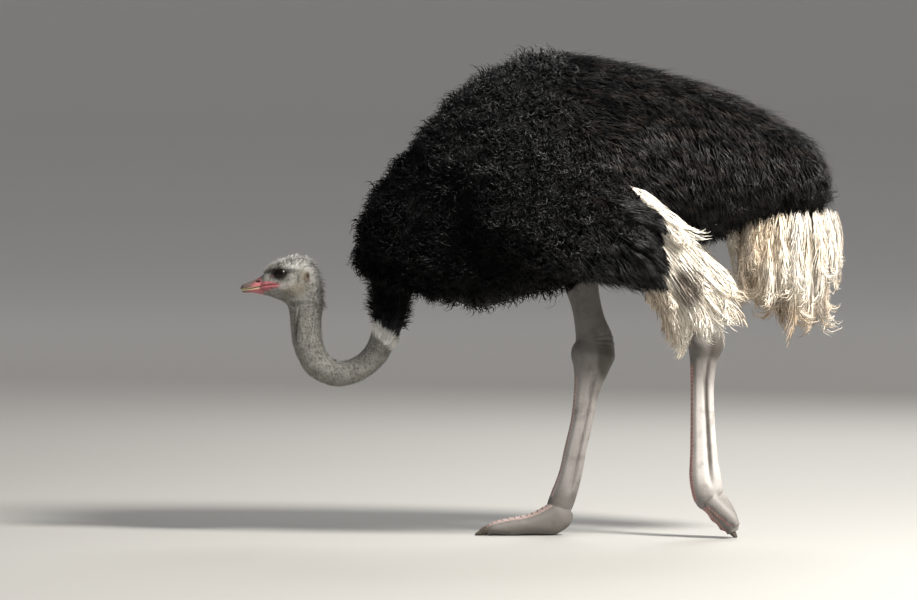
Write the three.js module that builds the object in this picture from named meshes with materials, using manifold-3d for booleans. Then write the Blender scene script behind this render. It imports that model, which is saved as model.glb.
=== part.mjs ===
// A life-size adult male ostrich, walking with its neck lowered in a U and its head level.
// Millimetres, +Z up. The bill points to -X and the bird's left side is at -Y.
// The origin is on the floor, under the middle of the bird.
import * as THREE from "three";
import { mergeVertices } from "three/addons/utils/BufferGeometryUtils.js";
import Module from "manifold-3d";

const wasm = await Module();
wasm.setup();

const gap = 0.3; // clearance between two pieces that meet
const left = -1; // the sign of Y on each side of the bird
const right = 1;

// ---- Colours ----

const material = (color, roughness) => new THREE.MeshStandardMaterial({ color, roughness, metalness: 0 });
const finishes = {
  blackFeather: material(0x0c0c0e, 0.75),
  brownFeather: material(0x1d1a19, 0.7),
  whiteFeather: material(0xe9dcc6, 0.85),
  greyDown: material(0x8f8b82, 0.9),
  whiteDown: material(0xb9b6ae, 0.9),
  greySkin: material(0x857f7b, 0.65),
  bill: material(0xb0615f, 0.45),
  claw: material(0x4a423c, 0.4),
  eye: material(0x120c08, 0.05),
  ear: material(0x5b463c, 0.8),
};

// ---- Shapes ----

// A smooth curve through three columns of a table.
const curveThrough = (rows, first) =>
  new THREE.CatmullRomCurve3(rows.map((row) => new THREE.Vector3(...row.slice(first, first + 3))), false, "catmullrom");

// Where the sections of a tube stand, counted in rows.
const evenly = (from, to, steps) => Array.from({ length: steps + 1 }, (_, step) => from + ((to - from) * step) / steps);

// A closed tube of oval sections. A row is [x, y, z, across, up, down]: its centre, then how far it reaches
// sideways, and to each side of the centre in the plane of the path. Upright sections ignore the path's slope.
function tube(rows, { sides = 14, steps = 8, stations = evenly(0, rows.length - 1, steps), grow = 0, upright = false }) {
  const path = curveThrough(rows, 0);
  const reach = curveThrough(rows, 3);
  const points = [];
  const centres = [];
  for (const station of stations) {
    const at = station / (rows.length - 1);
    const centre = path.getPoint(at);
    const along = upright ? new THREE.Vector3(1, 0, 0) : path.getTangent(at);
    const upward = new THREE.Vector3().crossVectors(along, new THREE.Vector3(0, 1, 0)).normalize();
    const sideways = new THREE.Vector3().crossVectors(upward, along);
    const [across, up, down] = reach.getPoint(at).addScalar(grow).toArray();
    for (let side = 0; side < sides; side++) {
      const turn = (2 * Math.PI * side) / sides;
      const height = Math.sin(turn) * (Math.sin(turn) > 0 ? up : down);
      points.push(centre.clone().addScaledVector(sideways, Math.cos(turn) * across).addScaledVector(upward, height));
    }
    centres.push(centre);
  }
  const last = stations.length - 1;
  const start = points.push(centres[0]) - 1;
  const end = points.push(centres[last]) - 1;
  const index = [];
  for (let side = 0; side < sides; side++) {
    const next = (side + 1) % sides;
    for (let ring = 0; ring < last * sides; ring += sides) {
      index.push(ring + side, ring + next, ring + side + sides);
      index.push(ring + next, ring + next + sides, ring + side + sides);
    }
    index.push(start, next, side);
    index.push(end, last * sides + side, last * sides + next);
  }
  return new THREE.BufferGeometry().setFromPoints(points).setIndex(index);
}

// The same shape on the bird's other side.
const onSide = (rows, side) => rows.map(([x, y, ...rest]) => [x, y * side, ...rest]);

// ---- Cutting and joining ----

function solidOf(geometry) {
  const bare = geometry.clone();
  bare.deleteAttribute("normal");
  bare.deleteAttribute("uv");
  const merged = mergeVertices(bare, 1e-4);
  return new wasm.Manifold(
    new wasm.Mesh({
      numProp: 3,
      vertProperties: new Float32Array(merged.getAttribute("position").array),
      triVerts: new Uint32Array(merged.index.array),
    }),
  );
}

const join = (solids) => solids.reduce((whole, piece) => whole.add(piece));
const carve = (solid, ...neighbours) => neighbours.reduce((rest, piece) => rest.subtract(piece), solid);

// What a foot loses under the floor, which leaves it a flat sole.
const underFloor = solidOf(new THREE.BoxGeometry(2000, 1000, 100).translate(0, 0, -50));

// The largest of the bodies that a cut leaves.
const largest = (solid) => solid.decompose().reduce((a, b) => (b.volume() > a.volume() ? b : a));

const bird = new THREE.Group();

function add(name, solid, finish) {
  const mesh = largest(solid).getMesh();
  const geometry = new THREE.BufferGeometry();
  geometry.setAttribute("position", new THREE.BufferAttribute(new Float32Array(mesh.vertProperties), 3));
  geometry.setIndex(new THREE.BufferAttribute(new Uint32Array(mesh.triVerts), 1));
  geometry.computeVertexNormals();
  const node = new THREE.Mesh(geometry, finish);
  node.name = name;
  bird.add(node);
}

// ---- Body: breast, trunk and tail ----

// [x, lowest z, highest z, half width] of the feathered body, from the breast to the tail.
const bodyOutline = [
  [-539, 800, 850, 18],
  [-524, 752, 908, 92],
  [-477, 706, 1004, 158],
  [-403, 684, 1096, 200],
  [-318, 668, 1205, 228],
  [-225, 632, 1300, 246],
  [-118, 634, 1360, 256],
  [-4, 672, 1390, 262],
  [110, 712, 1384, 262],
  [224, 742, 1358, 258],
  [338, 790, 1330, 250],
  [452, 832, 1300, 236],
  [566, 866, 1256, 212],
  [680, 889, 1196, 180],
  [765, 908, 1145, 148],
  [815, 930, 1068, 108],
  [834, 962, 1015, 40],
];
const bodyRows = bodyOutline.map(([x, low, high, half]) => [x, 0, (low + high) / 2, half, (high - low) / 2, (high - low) / 2]);
const breastEnd = 4.6; // where the body is divided, counted in rows of the outline
const trunkEnd = 12;
const rowGap = 0.003; // a row is about 100 mm, so this is the clearance between two lengths
const lengths = {
  breast: evenly(0, breastEnd, 9),
  trunk: evenly(breastEnd + rowGap, trunkEnd, 10),
  tail: evenly(trunkEnd + rowGap, bodyRows.length - 1, 7),
};
const body = (stations, grow = 0) => solidOf(tube(bodyRows, { sides: 26, stations, grow, upright: true }));
const wholeBody = body(Object.values(lengths).flat(), gap);

add("breast", body(lengths.breast), finishes.blackFeather);
add("trunk", body(lengths.trunk), finishes.brownFeather);
add("tail", body(lengths.tail), finishes.blackFeather);

// ---- Neck ----

// From the head down the bare neck, round its bend, up through the white collar and into the breast.
const neckRows = [
  [-671, 0, 668, 41, 44, 46],
  [-670, 0, 601, 39, 45, 45],
  [-665, 0, 550, 38, 46, 46],
  [-650, 0, 507, 38, 44, 44],
  [-617, 0, 476, 38, 40, 40],
  [-571, 0, 463, 37, 39, 39],
  [-517, 0, 480, 37, 38, 38],
  [-475, 0, 517, 38, 38, 38],
  [-452, 0, 561, 42, 41, 41],
  [-440, 0, 597, 49, 49, 49],
  [-434, 0, 650, 60, 59, 59],
  [-427, 0, 705, 74, 72, 74],
  [-420, 0, 775, 92, 88, 95],
];
const neckCuts = {
  neck_upper: [0, 2.5, 4],
  neck_bend: [2.5, 5.6, 6],
  neck_lower: [5.6, 8, 4],
  collar: [8, 9, 2],
  neck_base: [9, 12, 4],
};
const neckRowGap = 0.008; // of a 50 mm row
const neckSides = 16;

// ---- Head, with the bill, eyes and ears ----

// [x, lowest z, highest z, half width], from the base of the bill to the nape.
const headOutline = [
  [-797, 690, 740, 25],
  [-788, 687, 757, 31],
  [-775, 684, 777, 35],
  [-750, 674, 790, 40],
  [-722, 662, 795, 43],
  [-698, 655, 798, 44],
  [-674, 655, 793, 43],
  [-653, 660, 780, 39],
  [-638, 670, 760, 32],
  [-627, 690, 738, 19],
];
const headRows = headOutline.map(([x, low, high, half]) => [x, 0, (low + high) / 2, half, (high - low) / 2, (high - low) / 2]);
const head = (grow) => solidOf(tube(headRows, { sides: 20, steps: 12, grow, upright: true }));

const eyeRadius = 18.5;
const eyeCentre = [-741, 26, 749];
const earRadii = [9, 4.5, 11];
const earCentre = [-667, 38.5, 742];
const ball = ([x, y, z], [a, b, c], across = 12, upright = 8) =>
  solidOf(new THREE.SphereGeometry(1, across, upright).scale(a, b, c).translate(x, y, z));
const eye = (side, grow = 0) =>
  ball([eyeCentre[0], eyeCentre[1] * side, eyeCentre[2]], Array(3).fill(eyeRadius + grow));
const ear = (side, grow = 0) =>
  ball([earCentre[0], earCentre[1] * side, earCentre[2]], earRadii.map((r) => r + grow), 8, 6);

// The mouth is a flat seam, so each half of the bill is rounded on one side of it only.
const upperBillRows = [
  [-857, 0, 704.5, 7, 4, 0.6],
  [-852, 0, 705, 14, 9, 0.8],
  [-842, 0, 706.5, 19, 14, 0.8],
  [-820, 0, 710, 23, 19, 0.8],
  [-797.5, 0, 713.5, 26, 25.5, 0.8],
];
const lowerBillRows = [
  [-855, 0, 702, 7, 0.6, 5],
  [-849, 0, 702.6, 13, 0.8, 9],
  [-837, 0, 704.4, 17, 0.8, 11],
  [-818, 0, 707.2, 20, 0.8, 13],
  [-797.5, 0, 710, 24, 0.8, 20],
];
const bill = (rows) => solidOf(tube(rows, { sides: 14, steps: 6, upright: true }));

add("head", carve(head(0), eye(left, gap), eye(right, gap), ear(left, gap), ear(right, gap)), finishes.greyDown);
add("bill_upper", bill(upperBillRows), finishes.bill);
add("bill_lower", carve(bill(lowerBillRows), bill(upperBillRows)), finishes.bill);
for (const [name, side] of Object.entries({ left, right })) {
  add(`eye_${name}`, eye(side), finishes.eye);
  add(`ear_${name}`, ear(side), finishes.ear);
}

for (const [name, [from, to, steps]] of Object.entries(neckCuts)) {
  const stations = evenly(from + neckRowGap, to - neckRowGap, steps);
  const finish = { collar: finishes.whiteDown, neck_base: finishes.blackFeather }[name] ?? finishes.greyDown;
  add(name, carve(solidOf(tube(neckRows, { sides: neckSides, stations })), head(gap), wholeBody), finish);
}

// ---- Wings ----

// The folded black wing, from the shoulder back and down to its tip.
const wingRows = [
  [-195, 226, 1046, 22, 66, 66],
  [-100, 250, 1012, 42, 148, 148],
  [40, 270, 952, 52, 186, 186],
  [165, 277, 876, 52, 162, 156],
  [255, 277, 810, 46, 124, 112],
  [308, 272, 765, 34, 88, 70],
  [345, 266, 738, 12, 44, 30],
];
const wing = (side, grow = 0) => solidOf(tube(onSide(wingRows, side), { sides: 18, steps: 9, grow }));

// The white plumes of the wing hang in locks from under its rear edge: [x, y, z, across, up, down] again.
const wingLocks = [
  [[245, 240, 960, 22, 30, 30], [352, 262, 892, 26, 34, 34], [452, 272, 842, 12, 22, 22]],
  [[255, 240, 935, 26, 44, 44], [385, 268, 832, 34, 48, 48], [510, 284, 716, 30, 44, 44], [580, 290, 628, 14, 24, 24]],
  [[255, 240, 885, 26, 46, 46], [370, 262, 785, 34, 54, 54], [472, 276, 668, 32, 50, 50], [540, 280, 582, 16, 28, 28]],
  [[262, 236, 835, 26, 44, 44], [350, 250, 752, 34, 52, 52], [428, 262, 650, 32, 50, 50], [478, 266, 574, 16, 30, 30]],
  [[275, 228, 800, 24, 36, 36], [330, 234, 722, 30, 44, 44], [388, 244, 640, 28, 42, 42], [424, 250, 582, 14, 26, 26]],
  [[320, 226, 730, 20, 26, 26], [378, 228, 630, 24, 32, 32], [404, 232, 548, 22, 30, 30], [396, 234, 496, 12, 18, 18]],
  [[285, 216, 765, 18, 20, 20], [312, 216, 690, 20, 26, 26], [340, 220, 628, 16, 22, 22], [362, 222, 588, 8, 12, 12]],
];
const lockShape = { sides: 6, steps: 3 };
const wingPlumes = (side) => join(wingLocks.map((rows) => solidOf(tube(onSide(rows, side), lockShape))));

// ---- Tail plumes ----

// Locks hang in a fan under the tail. Their tips follow a parabola that is lowest under the middle of the fan.
const tailPlumes = {
  columns: [580, 652, 726, 796],
  rows: [-120, -42, 42, 120],
  top: 960,
  lowest: 566,
  lowestAt: 698,
  curve: 0.0085,
  lean: 0.26, // how far each lock bows away from the middle of the fan
};
function tailLock(x, y) {
  const { top, lowest, lowestAt, curve, lean } = tailPlumes;
  const tip = lowest + curve * (x - lowestAt) ** 2 + 0.16 * Math.abs(y);
  const bow = lean * (x - lowestAt);
  const drop = top - tip;
  return solidOf(
    tube(
      [
        [x - 0.35 * bow, 0.7 * y, top, 40, 44, 44],
        [x + 0.45 * bow, y, top - 0.35 * drop, 46, 52, 52],
        [x + 0.8 * bow, 1.08 * y, top - 0.75 * drop, 44, 46, 46],
        [x + 0.55 * bow, 1.04 * y, tip, 22, 22, 22],
      ],
      lockShape,
    ),
  );
}
const tailLocks = tailPlumes.columns.flatMap((x) => tailPlumes.rows.map((y) => tailLock(x, y)));

// ---- Legs ----

// From the hip down. The left leg trails behind the body, and only the claw of its large toe touches the ground.
const trailingLeg = [
  [235, 120, 965, 78, 100, 90],
  [300, 122, 865, 76, 92, 86],
  [362, 117, 765, 60, 66, 66],
  [418, 110, 665, 42, 48, 48],
  [452, 103, 600, 40, 50, 50],
  [461, 99, 558, 42, 56, 50],
  [458, 96, 505, 34, 42, 38],
  [456, 93, 430, 27, 34, 33],
  [457, 90, 330, 26, 36, 34],
  [460, 88, 240, 27, 40, 38],
  [464, 86, 175, 32, 46, 44],
  [474, 84, 122, 36, 50, 46],
];
// The right leg carries the bird, with its foot under the middle of the body.
const standingLeg = [
  [92, 118, 890, 78, 84, 84],
  [104, 112, 800, 62, 60, 60],
  [116, 104, 715, 46, 48, 48],
  [129, 96, 655, 38, 42, 42],
  [140, 89, 604, 37, 45, 45],
  [151, 82, 552, 42, 56, 54],
  [147, 75, 512, 44, 62, 62],
  [143, 69, 472, 36, 52, 52],
  [132, 61, 415, 27, 37, 38],
  [117, 50, 325, 26, 31, 32],
  [98, 39, 242, 26, 31, 32],
  [83, 31, 172, 28, 32, 33],
  [64, 24, 108, 34, 36, 36],
  [50, 20, 76, 36, 40, 40],
];
const hockRow = { left: 5, right: 6 }; // the row at the middle of each hock joint

// Toes and claws, from the tip back to the leg, so that up is the top of the toe.
const feet = {
  left: {
    toe_large: [[541, 84, 20, 20, 22, 22], [530, 84, 42, 27, 30, 30], [508, 83, 76, 31, 36, 38], [476, 81, 116, 34, 40, 44]],
    toe_small: [[552, 136, 38, 11, 12, 12], [534, 131, 58, 16, 19, 19], [507, 124, 82, 17, 22, 24], [480, 115, 106, 16, 24, 26]],
    claw: [[553, 84, -3, 8, 6, 6], [541, 84, 14, 12, 10, 10], [526, 84, 36, 13, 11, 11]],
  },
  right: {
    toe_large: [
      [-154, 4, 14, 20, 14, 20],
      [-134, 5, 19, 27, 20, 28],
      [-88, 7, 27, 30, 23, 34],
      [-30, 10, 34, 32, 28, 40],
      [22, 14, 56, 35, 34, 60],
      [54, 18, 80, 36, 40, 42],
    ],
    toe_small: [[-90, 106, 12, 10, 9, 16], [-72, 101, 17, 16, 14, 24], [-34, 89, 24, 19, 18, 30], [8, 73, 40, 20, 22, 44], [44, 52, 66, 16, 26, 30]],
    claw: [[-188, 3, 4, 6, 5, 8], [-164, 3, 14, 14, 11, 16], [-136, 4, 24, 17, 12, 12]],
  },
};

function addLeg(name, side, legRows) {
  const rows = onSide(legRows, side);
  const hock = hockRow[name];
  const toe = (part, grow = 0) => solidOf(tube(onSide(feet[name][part], side), { sides: 12, steps: 6, grow }));
  const claw = solidOf(tube(onSide(feet[name].claw, side), { sides: 8, steps: 3 }));
  const shank = (grow = 0) => solidOf(tube(rows, { stations: evenly(0, hock - 0.006, 8), grow }));
  const tarsus = (grow = 0) => solidOf(tube(rows, { stations: evenly(hock, rows.length - 1, 11), grow }));
  add(`shank_${name}`, carve(shank(), wholeBody, wing(left, gap), wing(right, gap)), finishes.greySkin);
  add(`tarsus_${name}`, tarsus(), finishes.greySkin);
  add(`toe_large_${name}`, carve(toe("toe_large"), tarsus(gap), underFloor), finishes.greySkin);
  add(`toe_small_${name}`, carve(toe("toe_small"), tarsus(gap), toe("toe_large", gap), underFloor), finishes.greySkin);
  add(`claw_${name}`, carve(claw, toe("toe_large", gap), underFloor), finishes.claw);
  return [shank(gap), tarsus(gap)];
}
const legSolids = [...addLeg("left", left, trailingLeg), ...addLeg("right", right, standingLeg)];

for (const [name, side] of Object.entries({ left, right })) {
  add(`wing_${name}`, carve(wing(side), wholeBody), finishes.blackFeather);
  add(`wing_plumes_${name}`, carve(wingPlumes(side), wholeBody, wing(side, gap), ...legSolids), finishes.whiteFeather);
}
add("tail_plumes", carve(join(tailLocks), wholeBody, ...legSolids), finishes.whiteFeather);

export default bird;
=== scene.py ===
import math

import bpy
import numpy as np
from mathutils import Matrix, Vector, kdtree


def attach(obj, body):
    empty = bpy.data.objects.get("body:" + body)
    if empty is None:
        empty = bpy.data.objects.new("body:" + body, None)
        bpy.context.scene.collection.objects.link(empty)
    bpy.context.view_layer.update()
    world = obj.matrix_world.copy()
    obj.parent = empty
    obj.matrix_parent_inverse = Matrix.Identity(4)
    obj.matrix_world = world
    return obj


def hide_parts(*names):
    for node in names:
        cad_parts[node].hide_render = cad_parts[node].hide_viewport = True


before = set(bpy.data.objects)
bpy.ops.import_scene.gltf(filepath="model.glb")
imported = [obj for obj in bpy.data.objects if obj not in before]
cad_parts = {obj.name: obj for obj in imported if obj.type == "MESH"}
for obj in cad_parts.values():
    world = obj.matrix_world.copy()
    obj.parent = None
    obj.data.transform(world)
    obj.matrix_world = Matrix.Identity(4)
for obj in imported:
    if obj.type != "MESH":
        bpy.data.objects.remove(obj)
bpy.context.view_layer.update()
mm = 0.001
sides = {"left": -1, "right": 1}  # the bird faces -X, so its left side is at -Y
print("frame loaded,", len(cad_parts), "nodes")

camera = {
    "aim": (-0.2366, 0.0, 0.6726),  # what it looks at, on the bird's middle plane
    "width": 2.6135,  # how much it sees from side to side there
    "distance": 22.0,
    "elevation": 2.5,  # degrees above level
    "sensor": 36.0,
    "reach": 300.0,
}


def makeCamera():
    data = bpy.data.cameras.new("camera")
    data.sensor_width = camera["sensor"]
    data.lens = camera["sensor"] * camera["distance"] / camera["width"]
    data.clip_end = camera["reach"]
    made = bpy.data.objects.new("camera", data)
    bpy.context.collection.objects.link(made)
    tilt = math.radians(camera["elevation"])
    back = Vector((0.0, -math.cos(tilt), math.sin(tilt)))
    made.location = Vector(camera["aim"]) + back * camera["distance"]
    made.rotation_euler = (-back).to_track_quat("-Z", "Y").to_euler()
    bpy.context.scene.camera = made


makeCamera()
print("camera set")


# Small helpers. Shapes are worked out in mm and turned into metres when a mesh is made.


def unit(v):
    return v / np.maximum(np.linalg.norm(v, axis=-1, keepdims=True), 1e-9)


def fade(value, start, end):  # smoothly from 0 at start to 1 at end
    t = np.clip((value - start) / (end - start), 0, 1)
    return t * t * (3 - 2 * t)


def bump(distance, width):
    return np.exp(-((distance / width) ** 2))


def curveBetween(before, a, b, after, t):
    square = 2 * before - 5 * a + 4 * b - after
    cube = 3 * a - before - 3 * b + after
    return a + 0.5 * ((b - before) * t + square * t**2 + cube * t**3)


def throughRows(rows, at):
    rows = np.asarray(rows, float)
    last = len(rows) - 1
    at = np.clip(np.asarray(at, float), 0, last)
    first = np.minimum(at.astype(int), last - 1)
    before, after = rows[np.maximum(first - 1, 0)], rows[np.minimum(first + 2, last)]
    return curveBetween(before, rows[first], rows[first + 1], after, (at - first)[..., None])


def nearLine(points, start, end):  # distance to a line in the side view, and how far along it
    start, run = np.array(start, float), np.subtract(end, start).astype(float)
    flat = points[..., [0, 2]]
    t = np.clip(((flat - start) @ run) / (run @ run), 0, 1)
    return np.linalg.norm(flat - (start + t[..., None] * run), axis=-1), t


def turnAbout(vectors, axes, angles):
    cosine, sine = np.cos(angles)[..., None], np.sin(angles)[..., None]
    dot = (vectors * axes).sum(-1, keepdims=True)
    return vectors * cosine + np.cross(axes, vectors) * sine + axes * dot * (1 - cosine)


# A form is a smooth closed shape through rows of sections. A tube's rows are
# [x, y, z, across, up, down], squared to its path; an outline's rows are
# [back x, back z, belly x, belly z, half width].


def tubeForm(rows, side=1, upright=False, square=2.0):
    rows = np.array(rows, float)
    rows[:, 1] *= side
    return {"rows": rows, "upright": upright, "square": square, "last": len(rows) - 1}


def outlineForm(rows, square=2.15):
    return {"rows": np.array(rows, float), "square": square, "last": len(rows) - 1}


def sections(form, s):
    rows = form["rows"]
    row = throughRows(rows, s)
    if rows.shape[1] == 5:
        zero = np.zeros_like(row[..., 0])
        back = np.stack([row[..., 0], zero, row[..., 1]], -1)
        belly = np.stack([row[..., 2], zero, row[..., 3]], -1)
        half = (back - belly) / 2
        return (back + belly) / 2, np.stack([zero, row[..., 4], zero], -1), half, half
    path = rows[:, :3]
    along = throughRows(path, s + 0.02) - throughRows(path, s - 0.02)
    if form["upright"]:
        along = np.broadcast_to((1.0, 0.0, 0.0), along.shape)
    up = unit(np.cross(along, (0.0, 1.0, 0.0)))
    side = unit(np.cross(up, along))
    return row[..., :3], side * row[..., 3:4], up * row[..., 4:5], up * row[..., 5:6]


def onForm(form, s, turn):
    centre, side, up, down = sections(form, s)
    cosine, sine = np.cos(turn), np.sin(turn)
    power = 2 / form["square"]
    across = (np.sign(cosine) * np.abs(cosine) ** power)[..., None]
    height = (np.sign(sine) * np.abs(sine) ** power)[..., None]
    return centre + side * across + np.where(height > 0, up, down) * height


def surface(form, s, turn):  # points, outward normals and the direction along the form
    s, turn = np.broadcast_arrays(np.asarray(s, float), np.asarray(turn, float))
    step = 0.02
    ahead, behind = np.minimum(s + step, form["last"]), np.maximum(s - step, 0)
    along = unit(onForm(form, ahead, turn) - onForm(form, behind, turn))
    around = onForm(form, s, turn + step) - onForm(form, s, turn - step)
    return onForm(form, s, turn), unit(np.cross(around, along)), along


def linked(data):
    obj = bpy.data.objects.new(data.name, data)
    bpy.context.collection.objects.link(obj)
    return obj


def formObject(name, form, stations, around, shaping=None):
    turns = np.linspace(0, 2 * math.pi, around, endpoint=False)
    points, normals, _ = surface(form, stations[:, None], turns[None, :])
    if shaping:
        points = shaping(points, normals, stations[:, None])
    faces = []
    for ring in range(len(stations) - 1):
        for side in range(around):
            a, b = ring * around + side, ring * around + (side + 1) % around
            faces.append((a, b, b + around, a + around))
    count = len(stations) * around
    faces += [tuple(range(around))[::-1], tuple(range(count - around, count))]
    data = bpy.data.meshes.new(name)
    data.from_pydata((points.reshape(-1, 3) * mm).tolist(), [], faces)
    data.update()
    return linked(data)


def apply(obj, kind, **settings):
    modifier = obj.modifiers.new(kind, kind)
    for key, value in settings.items():
        setattr(modifier, key, value)
    shown = obj.evaluated_get(bpy.context.evaluated_depsgraph_get())
    fresh = bpy.data.meshes.new_from_object(shown)
    obj.modifiers.clear()
    obj.data = fresh


def unite(obj, other):
    apply(obj, "BOOLEAN", operation="UNION", solver="MANIFOLD", object=other)
    bpy.data.objects.remove(other, do_unlink=True)


def place(obj, slot, *used, replaces=()):  # finishes a piece and hangs it on the one body
    for material in used:
        obj.data.materials.append(material)
    obj.data.shade_smooth()
    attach(obj, "root")
    if replaces:
        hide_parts(*replaces)


# Materials and groups are built from these few words, in the node tree at hand.

shading = {"tree": None}


def feed(socket, value):
    if isinstance(value, bpy.types.NodeSocket):
        shading["tree"].links.new(value, socket)
    elif socket.type == "RGBA":
        socket.default_value = (*value, 1.0)[:4]
    else:
        socket.default_value = value


def newNode(kind, settings, sockets):  # sockets are numbers or names with the values they take
    made = shading["tree"].nodes.new("ShaderNode" + kind)
    for key, value in settings.items():
        setattr(made, key, value)
    for socket, value in sockets:
        feed(made.inputs[socket], value)
    return made.outputs


def node(kind, settings=None, **inputs):
    return newNode(kind, settings or {}, inputs.items())


def maths(operation, *values):
    return newNode("Math", {"operation": operation}, enumerate(values))[0]


def plus(a, b):
    return maths("ADD", a, b)


def minus(a, b):
    return maths("SUBTRACT", a, b)


def times(first, *others):
    for other in others:
        first = maths("MULTIPLY", first, other)
    return first


def mixed(factor, a, b):
    return newNode("Mix", {"data_type": "RGBA"}, ((0, factor), (6, a), (7, b)))[2]


def tinted(colour, tint, *masks):  # lays a tint over a colour where every mask is up
    return mixed(times(*masks), colour, tint)


def ramped(value, low, high, toLow=0.0, toHigh=1.0):
    limits = (value, low, high, toLow, toHigh)
    return newNode("MapRange", {"interpolation_type": "SMOOTHSTEP"}, enumerate(limits))[0]


def noise(vector, scale, detail=3.0):
    return node("TexNoise", Vector=vector, Scale=scale, Detail=detail, Roughness=0.6)["Fac"]


def stretched(vector, scale, turn=(0, 0, 0)):
    return node("Mapping", Vector=vector, Scale=scale, Rotation=turn)[0]


def position():
    vector = node("TexCoord")["Object"]
    return vector, *node("SeparateXYZ", Vector=vector)[0:3]


def attribute(name):
    return node("Attribute", {"attribute_name": name})["Fac"]


def relief(height, distance, strength=1.0):
    return node("Bump", Strength=strength, Distance=distance, Height=height)[0]


def makeGroup(name, inputs, outputs, build):
    tree = shading["tree"] = bpy.data.node_groups.new(name, "ShaderNodeTree")
    for socket, (kind, default) in inputs.items():
        made = tree.interface.new_socket(socket, in_out="INPUT", socket_type="NodeSocket" + kind)
        made.default_value = default
    for socket, kind in outputs.items():
        tree.interface.new_socket(socket, in_out="OUTPUT", socket_type="NodeSocket" + kind)
    ends = tree.nodes.new("NodeGroupInput")
    out = tree.nodes.new("NodeGroupOutput")
    for socket, value in build(ends.outputs).items():
        feed(out.inputs[socket], value)
    return tree


def useGroup(group, **inputs):
    return node("Group", {"node_tree": group}, **inputs)


def makeMaterial(name, build, roughness, shine=0.5, coat=0.0, coatRoughness=0.03):
    made = bpy.data.materials.new(name)
    made.use_nodes = True
    shading["tree"] = made.node_tree
    sockets = made.node_tree.nodes["Principled BSDF"].inputs
    plain = {"Roughness": roughness, "Specular IOR Level": shine}
    plain.update({"Coat Weight": coat, "Coat Roughness": coatRoughness})
    for key, value in {**plain, **build()}.items():
        feed(sockets[key], value)
    return made


def buildOval(inputs):  # 1 inside an oval in the side view, fading to 0 outside it
    at = node("SeparateXYZ", Vector=inputs["Position"])
    middle = node("SeparateXYZ", Vector=inputs["Centre"])
    radii = node("SeparateXYZ", Vector=inputs["Radii"])
    squares = []
    for axis in (0, 2):
        share = maths("DIVIDE", minus(at[axis], middle[axis]), radii[axis])
        squares.append(times(share, share))
    away = maths("SQRT", plus(*squares))
    return {"Mask": ramped(away, 1.25, 0.6)}


vectorIn = ("Vector", (0, 0, 0))
ovalGroup = makeGroup(
    "ovalMask",
    {"Position": vectorIn, "Centre": vectorIn, "Radii": ("Vector", (1, 1, 1))},
    {"Mask": "Float"},
    buildOval,
)


def oval(vector, x, z, rx, rz):
    return useGroup(ovalGroup, Position=vector, Centre=(x, 0, z), Radii=(rx, 1, rz))["Mask"]


headMarks = {  # linear colours, then ovals: colour, x, z, their radii, strength
    "colours": {
        "grey": (0.228, 0.221, 0.199),
        "dark": (0.05, 0.044, 0.037),
        "pale": (0.37, 0.36, 0.342),
        "cheek": (0.15, 0.128, 0.095),
        "patch": (0.022, 0.021, 0.021),
        "brown": (0.085, 0.058, 0.04),
        "pink": (0.37, 0.115, 0.125),
        "white": (0.85, 0.83, 0.79),
        "black": (0.004, 0.004, 0.005),
    },
    "ovals": [
        ("dark", -0.700, 0.715, 0.060, 0.045, 0.22),
        ("pale", -0.712, 0.795, 0.066, 0.030, 0.8),
        ("pale", -0.650, 0.765, 0.026, 0.040, 0.4),
        ("pale", -0.632, 0.720, 0.018, 0.060, 0.5),
        ("cheek", -0.704, 0.706, 0.038, 0.021, 0.6),
        ("pale", -0.735, 0.712, 0.014, 0.010, 0.45),
        ("pale", -0.712, 0.722, 0.010, 0.012, 0.35),
        ("cheek", -0.680, 0.745, 0.008, 0.018, 0.6),
        # painted shade: the next two darken where the jaw meets the neck and down the throat's fold
        ("dark", -0.703, 0.663, 0.016, 0.009, 0.5),
        ("dark", -0.700, 0.605, 0.006, 0.050, 0.5),
        ("patch", -0.745, 0.750, 0.029, 0.020, 1.0),
        ("patch", -0.770, 0.755, 0.016, 0.007, 0.5),
        ("patch", -0.716, 0.757, 0.020, 0.007, 0.6),
        ("patch", -0.692, 0.735, 0.004, 0.014, 0.45),
        ("patch", -0.672, 0.668, 0.022, 0.006, 0.4),
        ("pink", -0.7660, 0.7420, 0.0060, 0.0035, 0.3),
        ("pink", -0.783, 0.7165, 0.039, 0.011, 1.0),
        ("pink", -0.794, 0.7055, 0.024, 0.008, 0.9),
        ("pink", -0.803, 0.6960, 0.014, 0.010, 0.8),
        ("brown", -0.667, 0.740, 0.009, 0.018, 0.85),
    ],
    "collarSlope": 0.81,  # how the white collar slants up towards the breast
    "collarFrom": (0.178, 0.205),
    "collarTo": (0.213, 0.221),
    "collarAfter": -0.53,  # how far back the collar and the black plumage begin
    "ragged": 0.035,
}


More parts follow.
